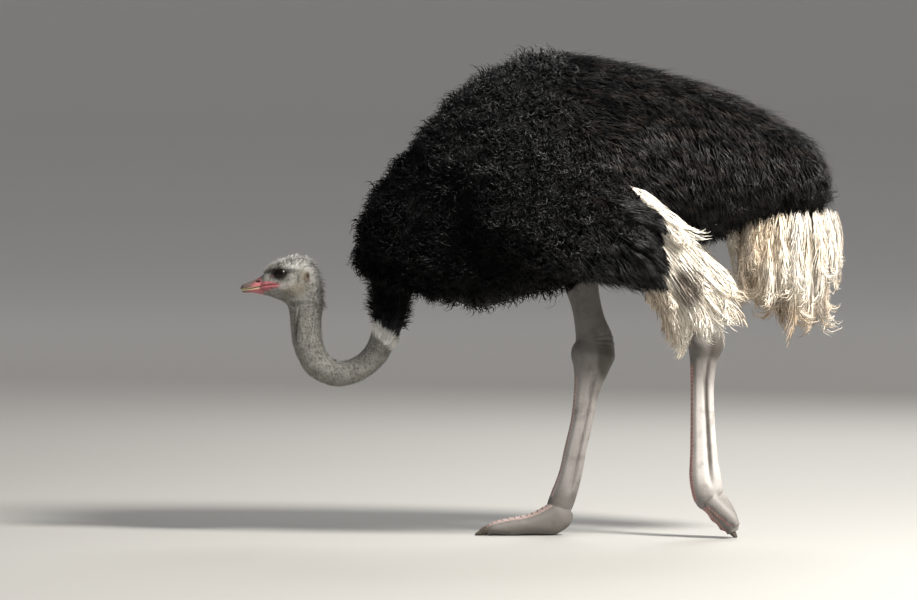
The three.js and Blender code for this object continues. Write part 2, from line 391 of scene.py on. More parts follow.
def buildHeadMarks(inputs):
    colours = headMarks["colours"]
    vector, x, _, z = position()
    blotch = ramped(noise(vector, 44.0, 4.0), 0.42, 0.68)
    speckle = ramped(noise(vector, 170.0, 4.0), 0.50, 0.66)
    flecks = ramped(noise(vector, 230.0, 2.0), 0.55, 0.7)
    colour = tinted(colours["grey"], colours["dark"], blotch, 0.36)
    colour = tinted(colour, colours["pale"], flecks, 0.55)
    colour = tinted(colour, colours["dark"], speckle, 0.55)
    for name, *where, strength in headMarks["ovals"]:
        colour = tinted(colour, colours[name], oval(vector, *where), strength)
    colour = tinted(colour, colours["dark"], speckle, 0.35)
    slant = plus(z, times(x, headMarks["collarSlope"]))
    ragged = times(minus(noise(vector, 150.0, 2.0), 0.5), headMarks["ragged"])
    slant = plus(slant, ragged)
    onNeck = maths("GREATER_THAN", x, headMarks["collarAfter"])
    white = ramped(slant, *headMarks["collarFrom"])
    black = ramped(slant, *headMarks["collarTo"])
    colour = tinted(colour, colours["white"], white, onNeck, 0.85)
    return {"Color": tinted(colour, colours["black"], black, onNeck)}


headGroup = makeGroup("headMarks", {}, {"Color": "Color"}, buildHeadMarks)

plumage = {
    "black": (0.0011, 0.0011, 0.0014),
    # painted light and shade: this paler black covers the top of the body, the darker one the shaded
    # breast and belly
    "paintedLitBlack": (0.0026, 0.0025, 0.0028),
    # brownish feathers, partly a painted highlight, in streaks high on the rear of the back
    "brown": (0.055, 0.043, 0.037),
    "streak": (7, 9, 20),  # how long the streaks run, and how they lean
    "slant": (0, 0.9, 0),
}


def streaked(vector, scale, detail):
    return noise(stretched(vector, plumage["streak"], plumage["slant"]), scale, detail)


def buildPlumage(inputs):
    vector, x, _, z = position()
    streaks = ramped(streaked(vector, 2.2, 5.0), 0.48, 0.7)
    # painted light and shade: paler high on the body and towards the rear, darker on the breast and
    # belly
    high = ramped(z, 0.80, 1.15)
    colour = tinted(plumage["black"], plumage["paintedLitBlack"], high, ramped(x, -0.40, 0.15))
    rear = ramped(x, 0.0, 0.22)
    # brown streaks high on the rear back: brownish feathers, partly painted highlight
    return {"Color": tinted(colour, plumage["brown"], high, rear, streaks, 0.8)}


plumageGroup = makeGroup("plumage", {}, {"Color": "Color"}, buildPlumage)


def buildShadeAndTone(inputs):  # painted shade darkens a strand's root, where its neighbours would shade it, and a random tone sets it off from them
    rise = ramped(attribute("along"), 0.0, 0.55)
    rootShade = times(minus(1.0, rise), inputs["Depth"])
    swing = times(minus(attribute("shade"), 0.5), inputs["Vary"])
    factor = times(minus(1.0, rootShade), plus(1.0, swing))
    scaled = node("VectorMath", {"operation": "SCALE"}, Vector=inputs["Color"], Scale=factor)
    return {"Color": scaled[0]}


shadeToneGroup = makeGroup(
    "strandShadeAndTone",
    {"Color": ("Color", (1, 1, 1, 1)), "Depth": ("Float", 0.3), "Vary": ("Float", 0.4)},
    {"Color": "Color"},
    buildShadeAndTone,
)


# depth above 0 paints shade at a strand's root, below 0 lightens it; vary sets a random tone
def shadedAndToned(colour, depth, vary):
    return useGroup(shadeToneGroup, Color=colour, Depth=depth, Vary=vary)["Color"]


def buildScales(inputs):  # small rounded scales with seams between them
    vector = position()[0]
    settings = {"feature": "DISTANCE_TO_EDGE"}
    cells = node("TexVoronoi", settings, Vector=vector, Scale=inputs["Scale"])["Distance"]
    height = ramped(cells, 0.0, 0.16)
    return {"Height": height, "Seam": minus(1.0, height)}


scaleGroup = makeGroup(
    "scales", {"Scale": ("Float", 200.0)}, {"Height": "Float", "Seam": "Float"}, buildScales
)


def blackFeather():  # glossy high on the back, dull towards the breast
    vector, x, _, z = position()
    colour = useGroup(plumageGroup)["Color"]
    gloss = ramped(plus(x, times(z, 0.9)), 0.40, 1.0)
    shine = ramped(streaked(vector, 1.6, 4.0), 0.35, 0.65, 0.2, 0.55)
    gloss = ramped(gloss, 0.0, 1.0, 0.14, shine)
    gloss = times(gloss, ramped(noise(vector, 24.0), 0.4, 0.62, 0.5, 1.25))
    return {"Base Color": shadedAndToned(colour, 0.6, 1.2), "Specular IOR Level": gloss}


def darkSkin():
    curled = noise(position()[0], 120.0, 5.0)
    height = maths("ABSOLUTE", minus(curled, 0.5))
    colour = mixed(0.5, useGroup(plumageGroup)["Color"], (0.001, 0.001, 0.001))
    return {"Base Color": colour, "Normal": relief(height, 0.03)}


def downFeather():
    return {"Base Color": shadedAndToned(useGroup(headGroup)["Color"], -0.4, 0.8)}


def collarFeather():
    return {"Base Color": shadedAndToned(headMarks["colours"]["white"], 0.2, 0.6)}


def downySkin():
    vector = position()[0]
    fuzz = noise(vector, 700.0)
    folds = noise(stretched(vector, (1, 1, 0.35)), 110.0)
    height = plus(fuzz, folds)
    return {"Base Color": useGroup(headGroup)["Color"], "Normal": relief(height, 0.001, 0.5)}


plumes = {
    "white": (0.94, 0.875, 0.77),
    "cream": (0.82, 0.64, 0.42),
    "tan": (0.38, 0.25, 0.135),
    "smoke": (0.13, 0.10, 0.08),
    "smokeAt": (0.412, 0.722, 0.042, 0.065),  # x and z on the wing, and its radii
}


def plumeFeather():
    vector, x, y, z = position()
    shade = attribute("shade")
    drift = ramped(noise(stretched(vector, (1, 1, 0.4)), 13.0), 0.42, 0.72)
    onTail = ramped(x, 0.60, 0.64)
    # painted shade: tan on the low and front tail plumes and the lower front of the wing plumes, where
    # they turn from the light
    low = times(ramped(z, 0.74, 0.60), ramped(x, 0.86, 0.72), 0.75, onTail)
    frontShade = times(ramped(x, 0.72, 0.56), ramped(x, 0.53, 0.56), 0.5)
    under = times(ramped(x, 0.41, 0.34), ramped(z, 0.76, 0.68), 0.5)
    creamy = ramped(x, 0.50, 0.60, 0.2, 0.6)
    tan = times(ramped(shade, 0.6, 1.0), creamy)
    for mask in (low, frontShade, under):
        tan = maths("MAXIMUM", tan, mask)
    colour = tinted(plumes["white"], plumes["cream"], drift, creamy)
    colour = mixed(tan, colour, plumes["tan"])
    outer = ramped(maths("ABSOLUTE", y), 0.262, 0.276)
    patchy = ramped(shade, 0.1, 0.4)
    smoke = oval(vector, *plumes["smokeAt"])
    colour = tinted(colour, plumes["smoke"], outer, smoke, patchy, 0.85)
    return {"Base Color": shadedAndToned(colour, 0.04, 0.25)}


leg = {
    "grey": (0.165, 0.152, 0.142),
    "dark": (0.062, 0.054, 0.045),
    "pale": (0.62, 0.58, 0.55),
    "red": (0.33, 0.12, 0.11),
    "plate": (0.30, 0.25, 0.225),
    "groove": (0.4935, 0.069),  # where the painted shade in the groove of the rear shin lies, and how it leans
    "pads": [(0.184, 0.500, 0.026, 0.062), (0.494, 0.552, 0.024, 0.05)],  # x, z and their radii
}


def legSkin():
    vector, x, _, z = position()
    scales = useGroup(scaleGroup, Scale=240.0)
    # pale below the hock; kept duller on the front leg, painted shade where it stands in the body's
    # shadow
    low = times(ramped(z, 0.52, 0.36), ramped(x, 0.2, 0.4, 0.5, 0.85))
    colour = mixed(low, leg["grey"], leg["pale"])
    blotch = ramped(noise(vector, 24.0, 4.0), 0.45, 0.75)
    # painted shade in the groove of the rear shin, between bone and tendon
    at, lean = leg["groove"]
    groove = maths("ABSOLUTE", minus(plus(x, times(z, lean)), at))
    groove = times(ramped(groove, 0.009, 0.002), ramped(z, 0.17, 0.22))
    darkMarksAndShade = [
        (blotch, 0.45),
        # painted shade: darker towards the ground on the feet
        (ramped(z, 0.20, 0.09), 0.72),
        (scales["Seam"], 0.14),
        (groove, ramped(z, 0.50, 0.44), 0.7),
    ]
    darkMarksAndShade += [(oval(vector, *pad), 0.85) for pad in leg["pads"]]
    for masks in darkMarksAndShade:
        colour = tinted(colour, leg["dark"], *masks)
    height = plus(scales["Height"], times(noise(vector, 420.0), 0.6))
    rough = ramped(blotch, 0.0, 1.0, 0.5, 0.64)
    return {"Base Color": colour, "Roughness": rough, "Normal": relief(height, 0.0007, 0.4)}


def scuteHorn():
    vector, x = position()[:2]
    grain = noise(stretched(vector, (1, 1, 3)), 90.0, 4.0)
    # red scutes, duller on the front leg: painted shade where that leg stands in the body's shadow
    red = times(ramped(grain, 0.25, 0.6), ramped(x, 0.2, 0.4, 0.25, 0.9))
    colour = mixed(red, leg["plate"], leg["red"])
    edge = ramped(attribute("along"), 0.7, 1.0)
    colour = tinted(colour, leg["pale"], edge, 0.45)
    return {"Base Color": colour, "Normal": relief(grain, 0.0006, 0.4)}


horn = {
    "pink": (0.37, 0.105, 0.12),
    "palePink": (0.46, 0.175, 0.18),
    "tip": (0.10, 0.073, 0.063),
    "edge": (0.60, 0.52, 0.30),
    "nostrilShade": (0.02, 0.01, 0.009),
    "nostrilAt": (-0.8075, 0.7262, 0.0085, 0.0034),  # x, z and its radii
    "mouth": 0.7105,  # height of the mouth line at x = -0.8, and how it climbs
    "climb": 0.165,
    "claw": (0.05, 0.04, 0.032),
    "paleClaw": (0.13, 0.105, 0.08),
}


def billHorn():
    vector, x, _, z = position()
    grain = noise(stretched(vector, (2, 6, 8)), 60.0, 4.0)
    colour = mixed(ramped(grain, 0.4, 0.7), horn["pink"], horn["palePink"])
    worn = times(minus(grain, 0.5), 0.03)
    raised = times(minus(z, 0.72), 0.9)
    tip = ramped(minus(plus(x, worn), raised), -0.808, -0.830)
    colour = mixed(tip, colour, horn["tip"])
    slope = minus(z, times(plus(x, 0.8), horn["climb"]))
    seam = maths("ABSOLUTE", minus(slope, horn["mouth"]))
    inFront = ramped(x, -0.788, -0.80)
    colour = tinted(colour, horn["edge"], ramped(seam, 0.0042, 0.0026), inFront, 0.85)
    # painted shade in the nostril's opening
    hole = oval(vector, *horn["nostrilAt"])
    colour = mixed(hole, colour, horn["nostrilShade"])
    height = minus(times(grain, 0.4), hole)
    rough = ramped(grain, 0.3, 0.8, 0.36, 0.52)
    return {"Base Color": colour, "Roughness": rough, "Normal": relief(height, 0.0012, 0.6)}


def clawHorn():
    grain = noise(stretched(position()[0], (1, 5, 5)), 70.0, 4.0)
    colour = mixed(ramped(grain, 0.35, 0.7), horn["claw"], horn["paleClaw"])
    return {"Base Color": colour, "Normal": relief(grain, 0.0008, 0.3)}


eye = {
    "centre": (-741.0, 26.0, 749.0),
    "radius": 18.5,
    "opening": (16.5, 11.0),  # half the gap between the lids, along and up
    "almond": 1.75,  # 2 is an oval, less draws its corners out
    "lid": 1.7,
    "pupil": 7.5,
    "iris": 12.5,
    "brown": ((0.005, 0.003, 0.002), (0.015, 0.008, 0.004)),
    "rim": (0.003, 0.0025, 0.002),
    "black": (0.001, 0.001, 0.001),
}


def eyeGloss():
    vector = position()[0]
    x, _, z = (value * mm for value in eye["centre"])
    iris, pupil = (oval(vector, x, z, *[eye[part] * mm] * 2) for part in ("iris", "pupil"))
    brown = mixed(noise(vector, 500.0, 2.0), *eye["brown"])
    colour = mixed(iris, eye["rim"], brown)
    return {"Base Color": mixed(pupil, colour, eye["black"])}


finishes = {  # name, how it is coloured, roughness, shine, and a clear coat's weight and roughness
    "plumage": ("black plumage", blackFeather, 0.5),
    "under": ("skin under plumage", darkSkin, 0.6, 0.2),
    "down": ("grey down", downFeather, 0.8, 0.2),
    "collar": ("white down", collarFeather, 0.8, 0.2),
    "head": ("downy skin", downySkin, 0.75, 0.25),
    "plume": ("white plume", plumeFeather, 0.85, 0.1),
    "leg": ("leg skin", legSkin, 0.55),
    "scute": ("shin scutes", scuteHorn, 0.45),
    "bill": ("bill horn", billHorn, 0.45, 0.5, 0.1, 0.25),
    "claw": ("claw horn", clawHorn, 0.4),
    "eye": ("wet eye", eyeGloss, 0.3, 0.15, 0.2, 0.05),
}
materials = {name: makeMaterial(*finish) for name, finish in finishes.items()}
print("materials made")

# The outline out to the tips of the coat, from the base of the bill to the tail.
outline = outlineForm(
    [
        [-800, 738, -803, 689, 24], [-790, 752, -790, 686, 31], [-776, 765, -776, 682, 35],
        [-752, 779, -755, 674, 40], [-724, 789, -736, 665, 43], [-697, 794, -726, 654, 44],
        [-664, 787, -722, 640, 43], [-641, 765, -720, 628, 41], [-627, 733, -719, 614, 40],
        [-621, 693, -718, 600, 39], [-621, 650, -716, 578, 39], [-625, 605, -711, 545, 38],
        [-620, 552, -696, 504, 38], [-601, 515, -664, 456, 38], [-570, 502, -590, 424, 38],
        [-532, 514, -512, 440, 38], [-505, 540, -449, 488, 38], [-490, 574, -416, 544, 42],
        [-486, 612, -393, 590, 49], [-491, 658, -374, 642, 60], [-500, 716, -352, 696, 76],
        [-528, 772, -318, 678, 116], [-538, 838, -286, 664, 158], [-519, 922, -250, 646, 194],
        [-475, 1008, -205, 631, 218], [-403, 1096, -165, 627, 234], [-318, 1208, -120, 636, 248],
        [-225, 1300, -70, 652, 256], [-118, 1360, 0, 674, 261], [-4, 1390, 72, 698, 263],
        [110, 1384, 160, 726, 262], [224, 1358, 250, 756, 258], [338, 1330, 345, 792, 250],
        [452, 1300, 452, 832, 236], [566, 1256, 566, 866, 212], [680, 1196, 680, 889, 180],
        [765, 1145, 758, 906, 148], [815, 1072, 804, 926, 108], [832, 1000, 828, 962, 40],
    ]
)
coatDepth = {  # mm from the skin out to the tips, by row of the outline
    "rows": [0, 2, 5, 9, 17, 18.5, 20, 22, 26, 29, 31, 34, 36, 38],
    "depths": [1, 2, 3, 3, 3.5, 7, 14, 22, 27, 26, 16, 18, 26, 26],
}
ear = {"centre": (-667.0, 741.0), "radii": (4.5, 9.0), "depth": 6.0}
mouth = {"from": (-805.0, 713.0), "to": (-746.0, 719.0), "depth": 2.6, "width": 1.9}
brow = {"from": (-775, 762), "to": (-714, 769), "height": 3.2, "width": 6.5}
headForms = [  # x, z, how much longer than high, width, how far it stands out, how far from the middle
    (-706, 702, 1.0, 20, 2.0, -1),
    (-774, 741, 1.0, 10, -2.0, -1),
    (-706, 748, 1.5, 10, -2.2, -1),
    (-725, 727, 2.2, 6, -1.8, 12),
]
neckFolds = {  # grooves in the skin: from, to, depth, width
    "throat": ((-690, 656), (-706, 550), 4.0, 3.8),
    "bend": ((-632, 566), (-578, 484), 3.4, 3.0),
    "nape": ((-655, 640), (-642, 560), 1.4, 5.0),
    "jaw": ((-742, 688), (-690, 676), 1.6, 5.0),
}


def depthAt(s):
    return np.interp(s, coatDepth["rows"], coatDepth["depths"])


def headPush(half, onHead):  # how far the head's skin stands out or in, in mm
    x, y, z = np.moveaxis(half, -1, 0)
    flank = y > 12
    push = brow["height"] * bump(nearLine(half, brow["from"], brow["to"])[0], brow["width"]) * flank
    for atX, atZ, longer, width, height, beyond in headForms:
        push += height * bump(np.hypot((x - atX) / longer, z - atZ), width) * (y > beyond)
    gape, t = nearLine(half, mouth["from"], mouth["to"])
    inMouth = fade(t, 1.0, 0.9) * flank
    push -= mouth["depth"] * bump(gape, mouth["width"]) * inMouth
    push += 1.3 * bump(gape - 4.6, 2.2) * inMouth
    (earX, earZ), (long, high) = ear["centre"], ear["radii"]
    hole = np.hypot((x - earX) / long, (z - earZ) / high)
    push -= ear["depth"] * fade(hole, 1.0, 0.35)
    push += 1.4 * bump(hole - 1.4, 0.4)
    push = push * onHead
    for start, end, depth, width in neckFolds.values():
        off, t = nearLine(half, start, end)
        push -= depth * bump(off, width) * fade(t, 0, 0.15) * fade(t, 1, 0.8) * (y > 8)
    return push


def shapeHead(points, normals):
    mirror = np.where(points[..., 1:2] < 0, -1.0, 1.0) * (0, 1, 0) + (1, 0, 1)
    half = points * mirror
    onHead = fade(-half[..., 0], 600, 625) * fade(half[..., 2], 640, 660)
    half = half + normals * mirror * headPush(half, onHead)[..., None]
    fromEye = half - np.array(eye["centre"])
    reach = np.linalg.norm(fromEye, axis=-1, keepdims=True)
    power = eye["almond"]
    gap = np.abs(fromEye[..., 0] / eye["opening"][0]) ** power
    gap = (gap + np.abs(fromEye[..., 2] / eye["opening"][1]) ** power) ** (1 / power)
    rim = eye["radius"] + eye["lid"] + 1.0 * bump(gap - 1.12, 0.1)
    sunk = eye["radius"] - 2.6
    wanted = sunk + (rim - sunk) * fade(gap, 0.9, 1.1)
    hold = fade(gap, 1.75, 1.12) * (fromEye[..., 1] > 0) * onHead
    onBall = np.array(eye["centre"]) + fromEye / np.maximum(reach, 1e-6) * wanted[..., None]
    return (half + (onBall - half) * hold[..., None]) * mirror


def shapeSkin(points, normals, s):
    return shapeHead(points - normals * depthAt(s)[..., None], normals)


def makeBodySkin():
    spans = [(0, 9, 150), (9, 19, 150), (19, outline["last"], 96)]
    stations = np.concatenate([np.linspace(low, high, count)[:-1] for low, high, count in spans])
    return formObject("skin", outline, np.append(stations, outline["last"]), 112, shapeSkin)


wingRows = [
    [-268, 188, 1060, 6, 16, 16], [-195, 226, 1046, 22, 66, 66], [-100, 250, 1012, 42, 148, 148],
    [40, 270, 952, 52, 186, 186], [165, 277, 876, 52, 162, 156], [255, 277, 810, 46, 124, 112],
    [308, 272, 765, 34, 88, 70], [345, 266, 738, 12, 44, 30],
]
wings = {name: tubeForm(wingRows, side) for name, side in sides.items()}
wingDepth = 20.0


def wingDepthAt(s):
    return wingDepth * fade(s, 0.5, 2.5)


def shapeWing(points, normals, s):
    return points - normals * wingDepthAt(s)[..., None]


legRows = {
    "left": [
        [300, 122, 865, 70, 86, 80], [362, 117, 765, 60, 66, 66], [418, 110, 665, 42, 48, 48],
        [452, 103, 600, 40, 50, 50], [461, 99, 558, 42, 56, 50], [458, 96, 505, 33, 40, 38],
        [456, 93, 430, 25, 32, 33], [457, 90, 330, 24, 34, 34], [460, 88, 240, 25, 38, 38],
        [464, 86, 175, 30, 44, 44], [474, 84, 122, 34, 44, 44], [484, 83, 104, 33, 38, 38],
    ],
    "right": [
        [104, 112, 800, 62, 60, 64], [116, 104, 715, 46, 48, 50], [129, 96, 655, 38, 42, 43],
        [140, 89, 604, 37, 45, 45], [151, 82, 552, 42, 56, 54], [147, 75, 512, 44, 62, 62],
        [143, 69, 472, 36, 50, 52], [132, 61, 415, 26, 36, 38], [117, 50, 325, 25, 30, 32],
        [98, 39, 242, 25, 30, 32], [83, 31, 172, 28, 32, 33], [62, 24, 108, 33, 36, 36],
        [48, 20, 76, 30, 34, 34], [40, 18, 56, 16, 18, 20],
    ],
}
toeRows = {  # from the tip back to the leg
    "left": {
        "large": [
            [543, 84, 16, 15, 15, 17], [532, 84, 40, 27, 28, 30], [508, 83, 76, 31, 35, 38],
            [476, 81, 116, 34, 38, 40],
        ],
        "small": [
            [553, 136, 36, 9, 10, 11], [536, 131, 56, 16, 18, 19], [507, 124, 82, 17, 20, 22],
            [478, 112, 108, 16, 22, 24],
        ],
    },
    "right": {
        "large": [
            [-156, 4, 12, 16, 12, 14], [-136, 5, 19, 27, 19, 20], [-88, 7, 27, 30, 23, 28],
            [-30, 10, 34, 32, 27, 35], [22, 14, 52, 33, 33, 52], [50, 18, 68, 32, 34, 52],
            [72, 21, 84, 20, 22, 32],
        ],
        "small": [
            [-91, 106, 11, 8, 8, 11], [-74, 101, 16, 15, 13, 17], [-34, 89, 23, 18, 17, 24],
            [8, 73, 38, 19, 21, 38], [40, 50, 62, 18, 24, 40], [58, 38, 74, 10, 14, 20],
        ],
    },
}
shin = {  # rows of each leg: the hock, and where the scuted shin starts and ends
    "hock": {"left": 4.0, "right": 5.0},
    "span": {"left": (5.0, 9.4), "right": (6.4, 10.6)},
    "groove": 12.0,
    "voxel": 2.2 * mm,
}
legs = {name: tubeForm(legRows[name], side) for name, side in sides.items()}
toes = {
    name: {toe: tubeForm(rows, side) for toe, rows in toeRows[name].items()}
    for name, side in sides.items()
}


def shapeLeg(name):
    start, end = shin["span"][name]
    hock = shin["hock"][name]

    def shaping(points, normals, s):
        centre, side, up, _ = sections(legs[name], s)
        away = points - centre
        rear = (away * unit(up)).sum(-1) / np.linalg.norm(up, axis=-1)
        flank = np.abs((away * unit(side)).sum(-1)) / np.linalg.norm(side, axis=-1)
        onShin = fade(s, start - 0.6, start + 0.6) * fade(s, end + 0.3, end - 0.6)
        lateral = fade(flank, 0.5, 0.9)
        past = s - hock
        push = onShin * (2.5 * bump(rear + 0.55, 0.25) * lateral + 2.0 * bump(rear - 0.75, 0.25))
        push -= shin["groove"] * bump(rear - 0.3, 0.17) * lateral * onShin  # between bone and tendon
        push += 5.0 * bump(past - 0.1, 0.45) * bump(rear + 0.15, 0.5) * flank  # knobs of the hock
        push -= 4.5 * bump(past + 1.3, 0.6) * bump(rear - 0.35, 0.3) * flank  # the hollow over it
        push += 3.0 * bump(past - 0.15, 0.6) * fade(rear, 0.35, 0.6)  # its heel and a crease
        push -= 2.2 * bump(rear - 0.36, 0.09) * bump(past - 0.15, 0.7)
        push += 1.1 * np.sin(s * 26) * bump(past + 0.95, 0.5) * fade(rear, -0.3, 0.5)  # wrinkles
        return points + normals * push[..., None]

    return shaping


def shapeToe(form):
    def shaping(points, normals, s):
        pads = 1.8 * np.cos(s / form["last"] * 2 * math.pi * 3.2)
        return points + normals * (pads * fade(-normals[..., 2], 0.0, 0.8))[..., None]

    return shaping


def flattenSole(obj):
    for vertex in obj.data.vertices:
        vertex.co.z = max(vertex.co.z, 0.0)


def makeLeg(name):
    form = legs[name]
    made = formObject("leg", form, np.linspace(0, form["last"], 180), 72, shapeLeg(name))
    for toe in toes[name].values():
        unite(made, formObject("toe", toe, np.linspace(0, toe["last"], 70), 40, shapeToe(toe)))
    apply(made, "REMESH", mode="VOXEL", voxel_size=shin["voxel"])
    apply(made, "SMOOTH", factor=0.5, iterations=4)
    flattenSole(made)
    return made


flesh = ["head", "ear_left", "ear_right", "neck_upper", "neck_bend", "neck_lower", "collar"]
flesh += ["neck_base", "breast", "trunk", "tail"]
flesh += [part + name for name in sides for part in ("shank_", "tarsus_", "toe_large_", "toe_small_")]


def dressSkin(skin):  # one mesh with downy, plumed and scaly stretches
    data = skin.data
    data.materials.clear()
    centres = np.zeros(len(data.polygons) * 3)
    data.polygons.foreach_get("center", centres)
    x, _, z = centres.reshape(-1, 3).T
    legTop = np.interp(x, [-0.25, 0.03, 0.05, 0.1, 0.25, 0.45], [0.4, 0.4, 0.66, 0.715, 0.78, 0.85])
    onLeg = (x > -0.25) & (z < legTop)
    onHead = (x < -0.36) & (z < 0.64) | (x < -0.6)
    kinds = np.where(onLeg, 2, np.where(onHead, 0, 1)).astype(np.int32)
    place(skin, "leg_skin", materials["head"], materials["under"], materials["leg"], replaces=flesh)
    data.polygons.foreach_set("material_index", kinds)


skin = makeBodySkin()
for name in sides:
    unite(skin, makeLeg(name))
    unite(skin, formObject("wing", wings[name], np.linspace(0, 7, 46), 36, shapeWing))
dressSkin(skin)
print("skin joined,", len(skin.data.polygons), "faces")

bill = {
    "upper": [
        [-858, 0, 703.5, 5, 2.5, 0.6], [-855, 0, 704.3, 11, 7, 0.8],
        [-848, 0, 705.5, 16, 11.5, 0.8], [-838, 0, 707, 19.5, 14, 0.8],
        [-820, 0, 710, 22.5, 17.5, 0.8], [-803, 0, 713, 24.5, 23, 0.8], [-790, 0, 715, 25, 30, 0.8],
    ],
    "lower": [
        [-855, 0, 702, 5, 1.0, 3.5], [-851, 0, 702.2, 11, 1.7, 8], [-842, 0, 703.4, 15.5, 2.1, 10],
        [-822, 0, 706.4, 19.5, 2.2, 13], [-803, 0, 709, 22.5, 2.8, 19.5],
        [-790, 0, 711, 24, 2.8, 23],
    ],
}
claws = {
    "left": [
        [554, 84, 0, 6, 4, 4], [547, 84, 8, 10, 7, 8], [538, 84, 20, 13, 10, 11],
        [528, 84, 34, 14, 11, 12],
    ],
    "right": [
        [-190, 3, 2, 4, 2, 3], [-178, 3, 7, 10, 6, 8], [-160, 3, 15, 15, 11, 14],
        [-138, 4, 22, 18, 13, 14],
    ],
}


def shapeUpperBill(points, normals, s):
    x, y, z = np.moveaxis(points, -1, 0)
    high = fade(z, 706, 722)
    push = 1.6 * bump(y, 5.5) * high
    push -= 1.8 * bump(np.hypot((x + 808.5) / 2.2, z - 725.5), 2.4)
    push += 0.9 * bump(x + 851, 6)
    push -= 1.6 * bump(np.abs(y) - 13, 5) * high * fade(x, -845, -825)
    return points + normals * push[..., None]


def makeBill():
    for part, shaping in (("upper", shapeUpperBill), ("lower", None)):
        form = tubeForm(bill[part], upright=True, square=2.3)
        stations = form["last"] * np.linspace(0, 1, 90) ** 1.4
        made = formObject(part + "Bill", form, stations, 72, shaping)
        place(made, "bill", materials["bill"], replaces=["bill_" + part])


def makeEyes():
    x, y, z = eye["centre"]
    r = eye["radius"]
    turns = np.linspace(0, math.pi, 17)
    rows = [[x - r * math.cos(t), y, z] + [max(r * math.sin(t), 0.02)] * 3 for t in turns]
    for name, side in sides.items():
        form = tubeForm(rows, side, upright=True)
        made = formObject("eye" + name.capitalize(), form, np.linspace(0, 16, 49), 48)
        place(made, "eye", materials["eye"], replaces=["eye_" + name])


def makeClaws():
    for name, rows in claws.items():
        form = tubeForm(rows, sides[name])
        made = formObject("claw" + name.capitalize(), form, np.linspace(0, form["last"], 40), 32)
        flattenSole(made)
        place(made, "claw", materials["claw"], replaces=["claw_" + name])


makeBill()
makeEyes()
makeClaws()
print("bill, eyes and claws made")

# Coat pieces are sets of small closed solids, each with the same faces, laid out in arrays:
# three-sided strands that end in a point, and thin plates with a top and an underside.

patch = 0.003  # how much of the OFBake map a tuft takes up
taper = {  # half widths from root to tip, as shares of the widest
    "lock": [0.55, 0.95, 1.0, 0.85, 0.6, 0.35, 0.2],
    "curl": [0.7, 1.0, 1.0, 0.9, 0.75, 0.55, 0.35],
    "hair": [1.0, 0.8, 0.5],
    "barb": [0.5, 1.0, 1.0, 0.9, 0.6],
}


def pieceSet(points, faces, across, along, places, shades):
    return {
        "points": points,  # of every piece, in the same order
        "faces": faces,  # of the first piece
        "across": across,  # where each point lies on its piece
        "along": along,
        "places": places,  # of each piece on the OFBake map
        "shades": shades,
    }


def strandSet(paths, normals, halfWidths, places, shades, shape="lock", thick=0.9):
    count, rings = paths.shape[0], paths.shape[1] - 1
    profile = taper[shape]
    profile = np.interp(np.linspace(0, 1, rings), np.linspace(0, 1, len(profile)), profile)
    heading = unit(np.gradient(paths, axis=1))
    side = unit(np.cross(heading, normals[:, None, :]))
    for ring in range(1, rings):  # keeps the side from flipping round a curl
        flipped = (side[:, ring] * side[:, ring - 1]).sum(-1) < 0
        side[flipped, ring] *= -1
    up = np.cross(side, heading)[:, :rings]
    width = (halfWidths[:, None] * profile[None, :])[..., None]
    centre, side = paths[:, :rings], side[:, :rings]
    corners = [centre - side * width, centre + side * width, centre + up * width * thick]
    points = np.concatenate([np.stack(corners, 2).reshape(count, -1, 3), paths[:, -1:]], 1)
    faces = [(0, 1, 2)]
    for first in range(0, 3 * rings - 3, 3):
        for a, b in ((0, 2), (2, 1), (1, 0)):
            faces.append((first + a, first + b, first + 3 + b, first + 3 + a))
    last = 3 * rings
    faces += [(last - 3, last - 1, last), (last - 1, last - 2, last), (last - 2, last - 3, last)]
    across = np.append(np.tile([-0.5, 0.5, 0.0], rings), 0.0)
    along = np.append(np.repeat(np.arange(rings) / rings, 3), 1.0)
    return pieceSet(points, faces, across, along, places, shades)


def plateSet(grids, normals, thick, places, shades):  # grids of (plates, rows, columns) points
    count, rows, columns = grids.shape[:3]
    half = rows * columns
    under = grids - normals * thick
    points = np.concatenate([grids.reshape(count, half, 3), under.reshape(count, half, 3)], 1)
    cells = [r * columns + c for r in range(rows - 1) for c in range(columns - 1)]
    faces = [(a, a + columns, a + columns + 1, a + 1) for a in cells]
    faces += [tuple(half + corner for corner in face[::-1]) for face in faces]
    rim = list(range(columns)) + [r * columns + columns - 1 for r in range(1, rows)]
    rim += [half - 2 - c for c in range(columns - 1)] + [r * columns for r in range(rows - 2, 0, -1)]
    for a, b in zip(rim, rim[1:] + rim[:1]):
        faces.append((a, b, half + b, half + a))
    along = np.tile(np.repeat(np.linspace(0, 1, rows), columns), 2)
    across = np.tile(np.linspace(-0.5, 0.5, columns), rows * 2)
    return pieceSet(points, faces, across, along, places, shades)


